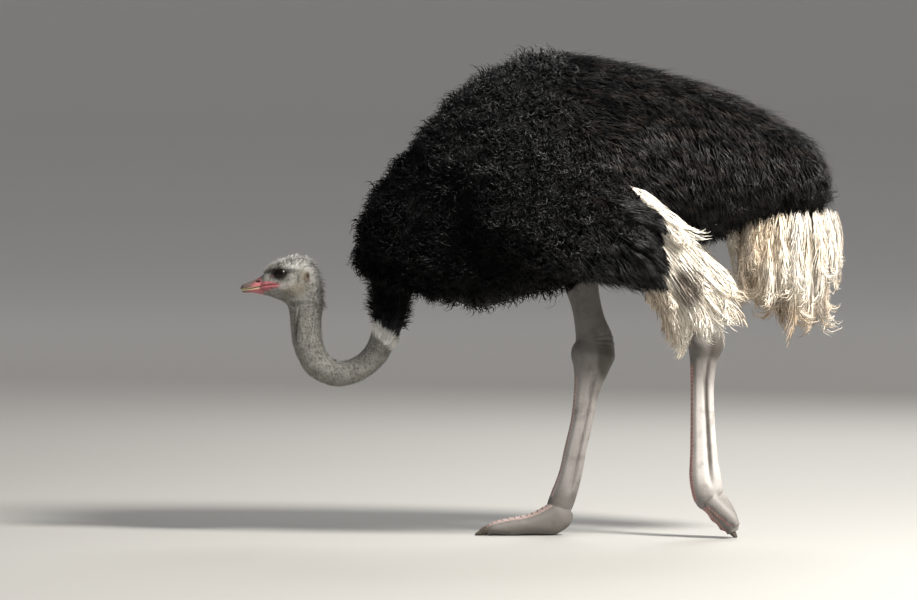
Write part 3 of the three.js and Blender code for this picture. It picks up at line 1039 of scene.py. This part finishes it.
def coatMesh(name, *sets):
    points, loops, sizes, uvs, alongs, shades = [], [], [], [], [], []
    offset = 0
    for part in sets:
        count, each = part["points"].shape[:2]
        corners = np.concatenate(part["faces"])
        steps = offset + each * np.arange(count)
        ring = (corners[None, :] + steps[:, None]).ravel()
        points.append(part["points"].reshape(-1, 3))
        loops.append(ring)
        sizes.append(np.tile([len(face) for face in part["faces"]], count))
        spot = np.stack([part["across"], part["along"]], -1) * patch
        uvs.append((part["places"][:, None] + spot).reshape(-1, 2)[ring - offset])
        alongs.append(np.tile(part["along"], count))
        shades.append(np.repeat(part["shades"], each))
        offset += count * each
    points, loops, sizes, uvs, alongs, shades = map(
        np.concatenate, (points, loops, sizes, uvs, alongs, shades)
    )
    data = bpy.data.meshes.new(name)
    data.vertices.add(len(points))
    data.vertices.foreach_set("co", (points * mm).ravel().astype(np.float32))
    data.loops.add(len(loops))
    data.loops.foreach_set("vertex_index", loops.astype(np.int32))
    data.polygons.add(len(sizes))
    data.polygons.foreach_set("loop_start", (np.cumsum(sizes) - sizes).astype(np.int32))
    data.update(calc_edges=True)
    data.uv_layers.new(name="OFBake").data.foreach_set("uv", uvs.ravel().astype(np.float32))
    for key, values in (("along", alongs), ("shade", shades)):
        layer = data.attributes.new(key, "FLOAT", "POINT")
        layer.data.foreach_set("value", values.astype(np.float32))
    print(name, int((sizes - 2).sum()), "triangles")
    return linked(data)


scutes = {  # plates along the front of a shin and the tops of the toes
    "shin": {"count": 36, "reach": 0.6, "lift": 0.9, "thick": 0.9},
    "large": {"count": 17, "reach": 0.8, "lift": 1.0, "thick": 0.9},
    "small": {"count": 11, "reach": 0.75, "lift": 0.9, "thick": 0.8},
}


def scutePlates(form, start, end, middle, spec, shaping):
    edges = np.linspace(start, end, spec["count"] + 1)
    v = np.linspace(0, 1, 5)
    u = np.linspace(-1, 1, 10)
    reach = (edges[1:] - edges[:-1])[:, None, None] * v[None, :, None] * 1.16
    s = edges[:-1, None, None] + reach * (1 - 0.12 * np.abs(u) ** 3)
    turn = np.broadcast_to(middle + u * spec["reach"], s.shape)
    base, normals, _ = surface(form, s, turn)
    base = shaping(base, normals, s)
    lift = 0.3 + spec["lift"] * (v[:, None] ** 1.5) * (1 - u[None, :] ** 6)
    count = len(s)
    places = np.stack([np.linspace(0.01, 0.98, count), np.full(count, (middle + 4) / 8)], -1)
    thick = spec["thick"] + lift[None, ..., None]
    return plateSet(base + normals * lift[None, ..., None], normals, thick, places, np.full(count, 0.5))


def makeScutes():
    for name in sides:
        start, end = shin["span"][name]
        stretch = (start + 0.2, end + 0.7, -math.pi / 2)
        plates = [scutePlates(legs[name], *stretch, scutes["shin"], shapeLeg(name))]
        for toe, form in toes[name].items():
            stretch = (form["last"] - 0.25, 0.35, math.pi / 2)
            plates.append(scutePlates(form, *stretch, scutes[toe], shapeToe(form)))
        place(coatMesh("scutes" + name.capitalize(), *plates), "leg_skin", materials["scute"])


makeScutes()
print("scutes made")


def growPaths(roots, normals, flows, spec, rng):
    count, steps = len(roots), spec["steps"]
    lengths = spec["length"] * (1 + spec.get("vary", 0.25) * rng.uniform(-1, 1, count))
    flows = unit(flows + rng.normal(0, spec.get("wander", 0.2), (count, 3)))
    flows = unit(flows - normals * (flows * normals).sum(-1, keepdims=True))
    lift = np.radians(spec["lift"] * (1 + 0.35 * rng.uniform(-1, 1, count)))
    heading = flows * np.cos(lift)[:, None] + normals * np.sin(lift)[:, None]
    side = unit(np.cross(flows, normals))
    axes = unit(turnAbout(side, flows, rng.normal(0, spec.get("roll", 0.3), count)))
    curl = np.radians(spec.get("curl", 0) * (1 + 0.4 * rng.uniform(-1, 1, count)))
    if spec.get("bothWays"):
        curl = curl * rng.choice([-1, 1], count)
    bend = np.radians(spec.get("bend", 0))
    path = [roots]
    for step in range(1, steps + 1):
        share = step / steps
        path.append(path[-1] + heading * (lengths / steps)[:, None])
        heading = turnAbout(heading, side, np.full(count, -bend / steps))
        heading = turnAbout(heading, axes, curl * share ** spec.get("tighten", 0.5) / steps)
        heading = unit(heading - np.array((0, 0, spec.get("droop", 0) / steps)) * share)
    return np.stack(path, 1)


def gather(paths, every, pull, rng):  # draws the tips of neighbouring strands together
    count = len(paths)
    leaders = rng.choice(count, max(count // every, 1), replace=False)
    tree = kdtree.KDTree(len(leaders))
    for index, leader in enumerate(leaders):
        tree.insert(paths[leader, 0], index)
    tree.balance()
    nearest = leaders[[tree.find(root)[1] for root in paths[:, 0]]]
    share = np.linspace(0, 1, paths.shape[1])[None, :, None]
    return paths + (paths[nearest] - paths) * share * pull, nearest


def rootsOn(form, count, density, rng, stations=(0, None)):
    first, last = stations[0], stations[1] or form["last"]
    s = np.linspace(first, last, 400)
    turn = np.linspace(-math.pi / 2, 1.5 * math.pi, 180)
    corner = onForm(form, s[:, None], turn[None, :])
    across, along = corner[1:, :-1] - corner[:-1, :-1], corner[:-1, 1:] - corner[:-1, :-1]
    area = np.linalg.norm(np.cross(across, along), axis=-1)
    midS, midTurn = np.meshgrid((s[1:] + s[:-1]) / 2, (turn[1:] + turn[:-1]) / 2, indexing="ij")
    middle, normal, _ = surface(form, midS, midTurn)
    weight = (area * density(middle, normal, midS)).ravel()
    chosen = rng.choice(len(weight), count, p=weight / weight.sum())
    row, column = np.unravel_index(chosen, area.shape)
    rootS = s[row] + rng.uniform(0, 1, count) * (s[1] - s[0])
    rootTurn = turn[column] + rng.uniform(0, 1, count) * (turn[1] - turn[0])
    spread = [(rootS - first) / (last - first), (rootTurn - turn[0]) / (2 * math.pi)]
    return rootS, rootTurn, np.stack(spread, -1) * 0.99 + 0.004


def coatPiece(name, spec, where, seed, flow, **options):
    form = options.get("form", outline)
    material, slot = spec["look"]
    rng = np.random.default_rng(seed)
    count = spec["count"]
    s, turn, places = rootsOn(form, count, where, rng, spec.get("rows", (0, None)))
    points, normals, along = surface(form, s, turn)
    depth = options.get("inset", depthAt)(s)
    base = points - normals * (depth + 1.0)[:, None]
    if form is outline:
        base = shapeHead(base, normals)
    paths = growPaths(base, normals, flow(points, normals, along), spec, rng)
    size = spec.get("size", lambda p: 1.0)(points) * np.ones(count)
    paths = paths[:, :1] + (paths - paths[:, :1]) * size[:, None, None]
    shades = rng.uniform(0, 1, count)
    if "every" in spec:
        paths, nearest = gather(paths, spec["every"], spec["pull"], rng)
        shades = 0.6 * shades[nearest] + 0.4 * shades
    widths = spec["width"] * rng.uniform(0.7, 1.3, count) * np.sqrt(size)
    section = (spec.get("shape", "lock"), spec.get("thick", 0.9))
    strands = strandSet(paths, normals, widths, places, shades, *section)
    place(coatMesh(name, strands), slot, materials[material], replaces=options.get("replaces", ()))


def onSide(name):
    return lambda p: np.where(p[..., 1] * sides[name] > 0, 1.0, 0.0)


def smoothBack(p):  # 1 where the plumage lies brushed, 0 where it curls
    edge = np.interp(p[..., 2], [700, 850, 1000, 1150, 1300, 1400], [330, 330, 250, 120, 70, 45])
    return fade(p[..., 0], edge - 60, edge + 60)


def inWing(points):  # where a folded wing covers the body
    inside = np.zeros(points.shape[:-1], bool)
    for s in np.linspace(2.3, 6.6, 26):
        centre, _, up, _ = sections(wings["right"], np.array(s))
        flat = points[..., [0, 2]] - centre[[0, 2]]
        rise = unit(up)[[0, 2]]
        across = flat[..., 0] * rise[1] - flat[..., 1] * rise[0]
        inside |= (np.abs(flat @ rise) < np.linalg.norm(up) * 0.84) & (np.abs(across) < 26)
    return inside & (np.abs(points[..., 1]) > 120)


def lie(tail, down):  # plumage that lies tailwards and hangs
    def flow(points, normals, along):
        fall = unit(normals * normals[:, 2:3] - (0, 0, 1.0))
        return unit(along * tail + fall * down)

    return flow


curls = {
    "look": ("plumage", "black_feather"),
    "length": 45,
    "vary": 0.35,
    "width": 1.8,
    "thick": 0.6,
    "lift": 32,
    "curl": 400,
    "tighten": 0.35,
    "roll": 1.2,
    "wander": 0.6,
    "bothWays": True,
    "steps": 5,
    "every": 6,
    "pull": 0.25,
    "shape": "curl",
}
brushed = {
    "look": ("plumage", "black_feather"),
    "length": 72,
    "vary": 0.4,
    "width": 2.1,
    "thick": 0.6,
    "lift": 21,
    "bend": 26,
    "curl": 50,
    "roll": 1.0,
    "wander": 0.3,
    "bothWays": True,
    "steps": 3,
    "droop": 0.3,
    "every": 8,
    "pull": 0.5,
}


def clumped(p):  # lets the curls stand longer here and shorter there
    x, y, z = p.T
    fine = np.sin(x / 13 + z / 21) * np.sin(z / 12 - x / 26 + y / 17)
    broad = np.sin(x / 27 + z / 44 + y / 60) * np.sin(z / 29 - x / 52 - y / 38)
    return 1.05 + 0.28 * fine + 0.42 * broad


curls["size"] = clumped


def onHem(p):  # the curly edge of the rump over the tail plumes
    return fade(p[..., 0], 600, 720) * fade(p[..., 2], 1030, 960)


def backLie(points, normals, along):  # brushed level on the back, hanging at the rear
    fall = unit(normals * normals[:, 2:3] - (0, 0, 1.0))
    x, y, z = points.T
    hang = 0.4 + 1.5 * fade(x, 150, 620) + 1.0 * fade(z, 1290, 1000)
    drift = np.sin(x / 47 + z / 61) + np.sin(x / 83 - z / 37 + y / 90)
    return unit(along + fall * (hang + 0.28 * drift)[:, None])


def makeBodyCoat():
    for index, name in enumerate(sides):
        here = onSide(name)
        curly = lambda p, n, s: here(p) * (1 - smoothBack(p)) * ~inWing(p) * fade(p[..., 2], 640, 700)
        title = name.capitalize()
        spec = {**curls, "count": 3000, "rows": (20.5, 26)}
        coatPiece("breastCurls" + title, spec, curly, 10 + index, lie(0.8, 0.5))
        spec = {**curls, "count": 3000, "rows": (26, 34)}
        coatPiece("shoulderCurls" + title, spec, curly, 12 + index, lie(0.8, 0.5))
        spec = {**brushed, "count": 6000, "rows": (26, None)}
        smooth = lambda p, n, s: here(p) * smoothBack(p) * ~inWing(p) * (1 - 0.7 * onHem(p))
        coatPiece("backFeathers" + title, spec, smooth, 20 + index, backLie)
    spec = {**curls, "count": 1500, "rows": (21, 33), "length": 44, "curl": 260}
    spec["size"] = lambda p: 1 + 1.2 * bump(p[:, 0] - 13, 17)
    coatPiece("bellyFeathers", spec, lambda p, n, s: fade(-n[..., 2], 0.0, 0.5), 31, lie(1.0, 0.3))
    spec = {**curls, "count": 2600, "rows": (32, 38), "length": 44, "curl": 330, "droop": 0.5}
    low = lambda p, n, s: onHem(p) + 0.7 * fade(p[..., 0], 420, 560) * fade(-n[..., 2], 0.0, 0.5)
    coatPiece("tailHem", spec, low, 32, lie(0.5, 1.0))


def makeWingCoat():
    for index, (name, side) in enumerate(sides.items()):
        outward = lambda n: fade(n[..., 1] * side, -0.5, 0.2)
        title = name.capitalize()
        onWing = {"form": wings[name], "inset": wingDepthAt}
        first = {**onWing, "replaces": ["wing_" + name]}
        spec = {**curls, "count": 3000, "rows": (0, 4.9), "length": 43}
        front = lambda p, n, s: outward(n) * fade(s, 4.9, 3.6)
        coatPiece("wingCurls" + title, spec, front, 40 + index, lie(0.8, 0.5), **first)
        spec = {**brushed, "count": 2300, "rows": (3.0, 7), "lift": 16, "wander": 0.25}
        spec["size"] = lambda p: 1 - 0.6 * fade(p[:, 0], 255, 330)
        rear = lambda p, n, s: outward(n) * fade(s, 3.0, 4.4)
        coatPiece("wingCoverts" + title, spec, rear, 50 + index, lie(1.0, 0.3), **onWing)


down = {
    "look": ("down", "grey_down"),
    "length": 8.5,
    "width": 0.42,
    "lift": 28,
    "bend": 14,
    "wander": 0.3,
    "steps": 2,
    "shape": "hair",
}


def tailward(points, normals, along):
    return along


def inCollar(p, n, s):
    slant = (p[..., 2] + p[..., 0] * headMarks["collarSlope"]) * mm
    return fade(slant, *headMarks["collarFrom"]) * (slant < headMarks["collarTo"][0])


def makeNeckCoat():
    everywhere = lambda p, n, s: 1.0
    spec = {**down, "count": 6000, "rows": (8.5, 17.6)}
    coatPiece("neckDown", spec, everywhere, 60, tailward)

    def offFace(p, n, s):
        x, _, z = eye["centre"]
        off = np.hypot((p[..., 0] - x) / 22, (p[..., 2] - z) / 18)
        return fade(off, 0.95, 1.1) * fade(nearLine(p, mouth["from"], mouth["to"])[0], 5, 9)

    spec = {**down, "count": 6200, "rows": (0.6, 9), "lift": 32}
    spec["size"] = lambda p: 0.6 + 0.6 * fade(p[:, 2], 765, 792)
    coatPiece("headDown", spec, offFace, 61, tailward)
    spec = {**down, "count": 2100, "rows": (0.8, 10), "length": 17, "width": 0.5, "lift": 52}
    spec.update(vary=0.4, every=8, pull=0.7)
    crown = lambda p, n, s: fade(n[..., 2], 0.3, 0.8) + 0.35 * fade(p[..., 0], -660, -635)
    coatPiece("crownBristles", spec, crown, 64, tailward)
    spec = {**down, "count": 1500, "rows": (16.5, 19.3), "length": 27, "vary": 0.45, "width": 0.9}
    spec.update(lift=19, steps=3, every=6, pull=0.6, look=("collar", "white_down"))
    coatPiece("collarTufts", spec, inCollar, 62, tailward)
    spec = {**curls, "count": 2400, "rows": (18.0, 21.5), "length": 34, "width": 1.1}
    spec.update(curl=100, steps=4, lift=38)
    coatPiece("neckBaseFeathers", spec, everywhere, 63, tailward)


lashes = {"count": 26, "length": 13.0, "width": 0.45, "from": 15, "to": 165, "out": 1.06}


def makeLashes():
    rng = np.random.default_rng(65)
    x, y, z = eye["centre"]
    turns = np.radians(np.linspace(lashes["from"], lashes["to"], lashes["count"]))
    wide, high = eye["opening"]
    flat = np.stack([-np.cos(turns) * wide, np.sin(turns) * high], -1) * lashes["out"]
    reach = eye["radius"] + eye["lid"]
    for name, side in sides.items():
        outwards = side * np.sqrt(reach**2 - (flat**2).sum(1))
        off = np.stack([flat[:, 0], outwards, flat[:, 1]], -1)
        roots = np.array((x, y * side, z)) + off
        out = unit(off * (1.0, 1.0, 1.6) + rng.normal(0, 1.2, off.shape) + (-3, 4 * side, 0))
        t = np.linspace(0, 1, 5)[None, :, None]
        paths = roots[:, None] + out[:, None] * t * lashes["length"] - np.array((0, 0, 3.5)) * t**2
        places = np.stack([np.linspace(0.1, 0.9, len(roots)), np.full(len(roots), 0.5)], -1)
        widths = np.full(len(roots), lashes["width"])
        strands = strandSet(paths, unit(off), widths, places, np.zeros(len(roots)), "hair")
        place(coatMesh("lashes" + name.capitalize(), strands), "black_feather", materials["plumage"])


makeBodyCoat()
makeWingCoat()
makeNeckCoat()
makeLashes()
print("coat laid")

# A feather is a line, its quill, that loose barbs spring from: a few broad ones that fill
# the vane and many fine ones that run beside them and past the end.


def alongLines(feathers, t):  # t goes past 1 where barbs outrun the line
    lines = feathers["lines"]
    last = lines.shape[1] - 1
    at = np.clip(t, 0, 1) * last
    first = np.minimum(at.astype(int), last - 1)
    ends = [np.take_along_axis(lines, np.clip(first + k, 0, last)[..., None], 1) for k in (-1, 0, 1, 2)]
    beyond = (lines[:, -1:] - lines[:, -2:-1]) * last * np.clip(t - 1, 0, None)[..., None]
    return curveBetween(*ends, (at - first)[..., None]) + beyond


def curlEnds(lines, faces, spec, rng):  # turns the last part of each line over
    count, last = len(lines), lines.shape[1] - 1
    steps = np.diff(lines, axis=1)
    heading = unit(steps[:, last // 2])
    side = np.cross(heading, faces)
    roll = rng.choice([-1, 1], count) * math.pi / 2 * rng.uniform(spec["roll"], 1.2, count)
    axes = unit(turnAbout(side, heading, roll))
    angles = np.radians(spec["curl"]) * rng.normal(1, 0.35, count)
    shares = fade(np.arange(last) / (last - 1), spec["curlFrom"], 1.0)
    for step, share in enumerate(shares / shares.sum()):
        steps[:, step:] = turnAbout(steps[:, step:], axes[:, None], (angles * share)[:, None])
    return np.concatenate([lines[:, :1], lines[:, :1] + np.cumsum(steps, 1)], 1)


def vaneFrame(feathers, t):
    heading = unit(alongLines(feathers, t + 0.02) - alongLines(feathers, t - 0.02))
    face = feathers["faces"][:, None]
    face = unit(face - heading * (heading * face).sum(-1, keepdims=True))
    return alongLines(feathers, t), np.cross(heading, face), face


def barbSet(feathers, spec, barbs, width, rng):  # barbs that leave the quill and run beside it
    count, steps = len(feathers["lines"]), spec["steps"]
    each = (count, barbs, 1)
    start = (np.arange(barbs)[None, :, None] + rng.uniform(0, 1, each)) / barbs
    reach = spec["reach"] * rng.uniform(0.6, 1.3, each) * (1 - 0.6 * fade(start, 0.55, 1.0))
    share = np.linspace(0, 1, steps + 1)
    t = start * (1.0 - 0.4 * spec["reach"]) + reach * share
    vane = fade(t, *spec["opens"]) * (1 - fade(t, 0.8, 1.1) * (1 - spec["tip"]))
    lean = rng.uniform(-1, 1, each) * spec["spread"]
    across = lean * (0.25 + 0.75 * share**0.7) * vane
    width, wave = width * rng.uniform(0.7, 1.3, count * barbs), rng.uniform(0, 6.3, each)
    across = across + 0.06 * np.sin(wave + 5 * share)
    out = spec["puff"] * (1 - lean**2) * vane + rng.normal(0, spec["fluff"], each) * share**2
    wide = feathers["widths"][:, None, None]
    grids = (t, across * wide, out * wide)
    t, across, out = ((grid * np.ones(each)).reshape(count, -1) for grid in grids)
    middle, side, face = vaneFrame(feathers, t)
    paths = middle + side * across[..., None] + face * out[..., None]
    paths = paths.reshape(-1, steps + 1, 3) - np.array((0, 0, spec["sag"])) * share[:, None] ** 2
    faces = face.reshape(-1, steps + 1, 3)[:, 0]
    shades = np.repeat(feathers["shades"], barbs) + rng.normal(0, 0.1, count * barbs)
    places = np.repeat(feathers["places"], barbs, axis=0)
    return strandSet(paths, faces, width, places, np.clip(shades, 0, 1), "barb", 0.25)


def makeFeathers(name, lines, faces, widths, spec, seed, replaces=()):
    rng = np.random.default_rng(seed)
    faces = unit(np.array(faces, float) + rng.normal(0, 0.15, (len(lines), 3)))
    lines = np.stack([throughRows(line, np.linspace(0, len(line) - 1, 18)) for line in lines])
    roots = lines[:, 0, [0, 2]]
    low, high = roots.min(0), roots.max(0)
    feathers = {
        "lines": curlEnds(lines, faces, spec, rng),
        "faces": faces,
        "widths": np.array(widths, float),
        "places": (roots - low) / np.maximum(high - low, 1) * 0.98 + 0.004,
        "shades": rng.uniform(0, 1, len(lines)),
    }
    locks = barbSet(feathers, spec, spec["locks"], spec["lockWidth"], rng)
    made = coatMesh(name, locks, barbSet(feathers, spec, spec["barbs"], spec["width"], rng))
    material, slot = spec["look"]
    place(made, slot, materials[material], replaces=replaces)


wingFan = [  # plume lines fanned from the top of the wing's rear edge to its foot
    [[228, 246, 1018], [298, 266, 968], [350, 276, 924], [440, 282, 856]],
    [[285, 236, 955], [355, 262, 890], [430, 276, 826], [518, 282, 738]],
    [[290, 232, 915], [395, 266, 822], [492, 286, 722], [576, 288, 632]],
    [[290, 232, 865], [380, 264, 770], [468, 280, 674], [540, 278, 580]],
    [[290, 232, 815], [360, 254, 738], [428, 266, 650], [475, 264, 545]],
    [[275, 232, 800], [330, 240, 722], [388, 250, 640], [424, 250, 570]],
    [[320, 230, 730], [372, 232, 640], [400, 236, 560], [396, 236, 490]],
    [[285, 220, 765], [312, 220, 690], [338, 222, 630], [356, 222, 590]],
]
softPlume = {
    "look": ("plume", "white_feather"),
    "barbs": 78,
    "width": 1.0,
    "locks": 12,  # broader barbs that fill the vane
    "lockWidth": 3.0,
    "steps": 3,
    "reach": 0.27,  # a barb's length as a share of the quill's
    "opens": (-0.25, 0.35),  # where along the quill the vane widens
    "spread": 1.0,
    "puff": 0.4,
    "fluff": 0.16,
    "tip": 0.85,
    "sag": 4.0,
    "curl": 120,
    "curlFrom": 0.72,
    "roll": 0.3,
}
wingPlume = {**softPlume, "count": 56, "curl": 65}
tailPlume = {
    **softPlume,
    "opens": (-0.6, 0.06),
    "count": 84,
    "middle": (694, 0),
    "radii": (140, 128),
    "top": 950,
    "lowest": 542,
    "lowestAt": 728,
    "round": 0.0062,  # how the lower edge rises towards its corners
    "splay": 26,  # how far the front plumes stand forward at their tops
}


def makeWingPlumes():
    fan = np.array(wingFan, float)
    for index, (name, side) in enumerate(sides.items()):
        rng = np.random.default_rng(70)
        lines, faces, widths = [], [], []
        for number in range(wingPlume["count"]):
            pick = (number + rng.uniform(0, 1)) / wingPlume["count"] * (len(fan) - 1)
            line = throughRows(fan.reshape(len(fan), 12), pick).reshape(4, 3)
            reach = rng.uniform(0.45, 1.0) if number % 3 else rng.uniform(0.88, 1.0)
            line = throughRows(line, np.linspace(0.25 * rng.uniform(0, 1), 3 * reach, 5))
            line = line + rng.normal(0, 1, 3) * (7, 5, 7) + (0, 26 * (1 - reach), 0)
            lines.append(line * (1, side, 1))
            faces.append((0.15, side, 0.2))
            widths.append(rng.uniform(20, 30) * (0.7 if pick > 5.6 or pick < 1.0 else 1.0))
        title = "wingPlumes" + name.capitalize()
        nodes = ["wing_plumes_" + name]
        makeFeathers(title, lines, faces, widths, wingPlume, 71 + index, replaces=nodes)


def makeTailPlumes():
    rng = np.random.default_rng(80)
    lines, faces, widths = [], [], []
    t = np.linspace(0, 1, 5)[:, None]
    for number in range(tailPlume["count"]):
        turn = number * 2.399963  # the golden angle spreads them evenly
        layer = number % 4  # 0 inside and long, 3 outside and short
        out = np.array((math.cos(turn), math.sin(turn)))
        x, y = np.array(tailPlume["middle"]) + out * tailPlume["radii"] * (0.62 + 0.12 * layer)
        low = tailPlume["lowest"] + tailPlume["round"] * (x - tailPlume["lowestAt"]) ** 2
        low = low + 0.12 * abs(y)
        tip = low + (0, 35, 80, 135)[layer] + rng.uniform(-10, 30)
        top = tailPlume["top"] - 8 * layer
        bow = out * (26, 20) * np.sin(t * 2.7) * rng.uniform(0.5, 1.2)
        lean = rng.normal(0, 0.05, 2) * (top - tip) * t
        splay = np.array((-tailPlume["splay"] * max(-out[0], 0) ** 2, 0)) * (1 - 0.8 * t)
        flat = np.array((x, y)) * (1, 0.9) + bow + lean + splay
        lines.append(np.concatenate([flat, top - (top - tip) * t], 1))
        faces.append((out[0], out[1], 0.1))
        widths.append(rng.uniform(22, 32))
    makeFeathers("tailPlumes", lines, faces, widths, tailPlume, 81, replaces=["tail_plumes"])


covert = {
    **softPlume,
    "look": ("plumage", "black_feather"),
    "barbs": 42,
    "locks": 7,
    "lockWidth": 2.2,
    "reach": 0.4,
    "tip": 0.5,
    "sag": 1.0,
    "curl": 15,
    "out": 318,  # how far a lobe starts from the bird's middle plane
    "in": 34,  # how far it comes back towards it
}
covertLobes = [  # where a lobe's feathers start and end: two corners each, and how many
    {"from": [(150, 990), (235, 905)], "to": [(330, 925), (366, 862)], "count": 16},
    {"from": [(165, 925), (225, 860)], "to": [(340, 846), (290, 850)], "count": 7},
    {"from": [(185, 880), (270, 850)], "to": [(352, 792), (364, 742)], "count": 10},
    {"from": [(190, 850), (262, 820)], "to": [(358, 700), (300, 722)], "count": 14},
]


def makeCovertLobes():
    for index, (name, side) in enumerate(sides.items()):
        rng = np.random.default_rng(90)
        lines, faces, widths = [], [], []
        for lobe in covertLobes:
            for number in range(lobe["count"]):
                share = number / (lobe["count"] - 1)
                back = rng.uniform(0, 1)
                start, end = (
                    np.array(pair[0]) * (1 - where) + np.array(pair[1]) * where
                    for pair, where in ((lobe["from"], back), (lobe["to"], share))
                )
                t = np.linspace(0, 1, 5)[:, None]
                flat = start + (end - start) * t + np.array((0.0, 14.0)) * np.sin(t * math.pi)
                y = covert["out"] + rng.uniform(-6, 6) - covert["in"] * t[:, 0] ** 1.5
                lines.append(np.stack([flat[:, 0], y * side, flat[:, 1]], -1))
                faces.append((0.1, side, 0.1))
                widths.append(rng.uniform(11, 17))
        title = "covertLobes" + name.capitalize()
        makeFeathers(title, lines, faces, widths, covert, 91 + index)


makeWingPlumes()
makeTailPlumes()
makeCovertLobes()
print("plumes hung")

room = {
    "radius": 55.0,
    "bend": 10.0,
    "height": 50.0,
    "near": (0.31, 0.302, 0.285),
    "far": (0.9, 0.88, 0.85),
    "sky": (0.9, 0.91, 0.94, 1),
    "skyLight": 0.27,
}


def paleFloor():  # paler away from the lights, so the room stays evenly bright
    vector = position()[0]
    away = node("VectorMath", {"operation": "LENGTH"}, Vector=vector)["Value"]
    return {"Base Color": mixed(ramped(away, 3.0, 14.0), room["near"], room["far"])}


def makeFloor():  # a wide bowl round the bird, with a wall that curves up all the way round
    radius, bend, around = room["radius"], room["bend"], 96
    rise = np.linspace(0, math.pi / 2, 14)
    radii = np.concatenate([[1.0, 4.0, 12.0], radius + bend * np.sin(rise), [radius + bend]])
    heights = np.concatenate([np.zeros(3), bend * (1 - np.cos(rise)), [room["height"]]])
    turn = np.linspace(0, 2 * math.pi, around, endpoint=False)
    rings = [np.outer(radii, np.cos(turn)), np.outer(radii, np.sin(turn))]
    rings.append(np.outer(heights, np.ones(around)))
    points = np.stack(rings, -1).reshape(-1, 3)
    faces = [tuple(range(around))]
    for row in range(len(radii) - 1):
        for i in range(around):
            j, low = (i + 1) % around, row * around
            faces.append((low + j, low + i, low + around + i, low + around + j))
    data = bpy.data.meshes.new("floor")
    data.from_pydata(points.tolist(), [], faces)
    data.shade_smooth()
    data.materials.append(makeMaterial("pale floor", paleFloor, 0.9))
    linked(data)


lights = {  # place, size, power, colour
    "key": ((3.6, -2.8, 5.0), 1.5, 1150, (1.0, 0.97, 0.92)),
    "fill": ((-3.0, -5.5, 2.6), 4.0, 70, (0.92, 0.96, 1.0)),
    "back": ((1.5, 4.5, 4.0), 3.0, 260, (1.0, 1.0, 1.0)),
}


def makeLights():
    for name, (where, size, power, colour) in lights.items():
        data = bpy.data.lights.new(name, "AREA")
        data.shape, data.size, data.energy, data.color = "DISK", size, power, colour
        made = bpy.data.objects.new(name, data)
        bpy.context.collection.objects.link(made)
        made.location = where
        made.visible_glossy = name != "fill"  # keeps its disc out of the eye
        made.rotation_euler = (Vector((0, 0, 0.8)) - Vector(where)).to_track_quat("-Z", "Y").to_euler()
    world = bpy.data.worlds.new("room")
    bpy.context.scene.world = world
    world.use_nodes = True
    background = world.node_tree.nodes["Background"]
    background.inputs["Color"].default_value = room["sky"]
    background.inputs["Strength"].default_value = room["skyLight"]
    bpy.context.scene.view_settings.view_transform = "Standard"


makeFloor()
makeLights()
print("room and lights made")
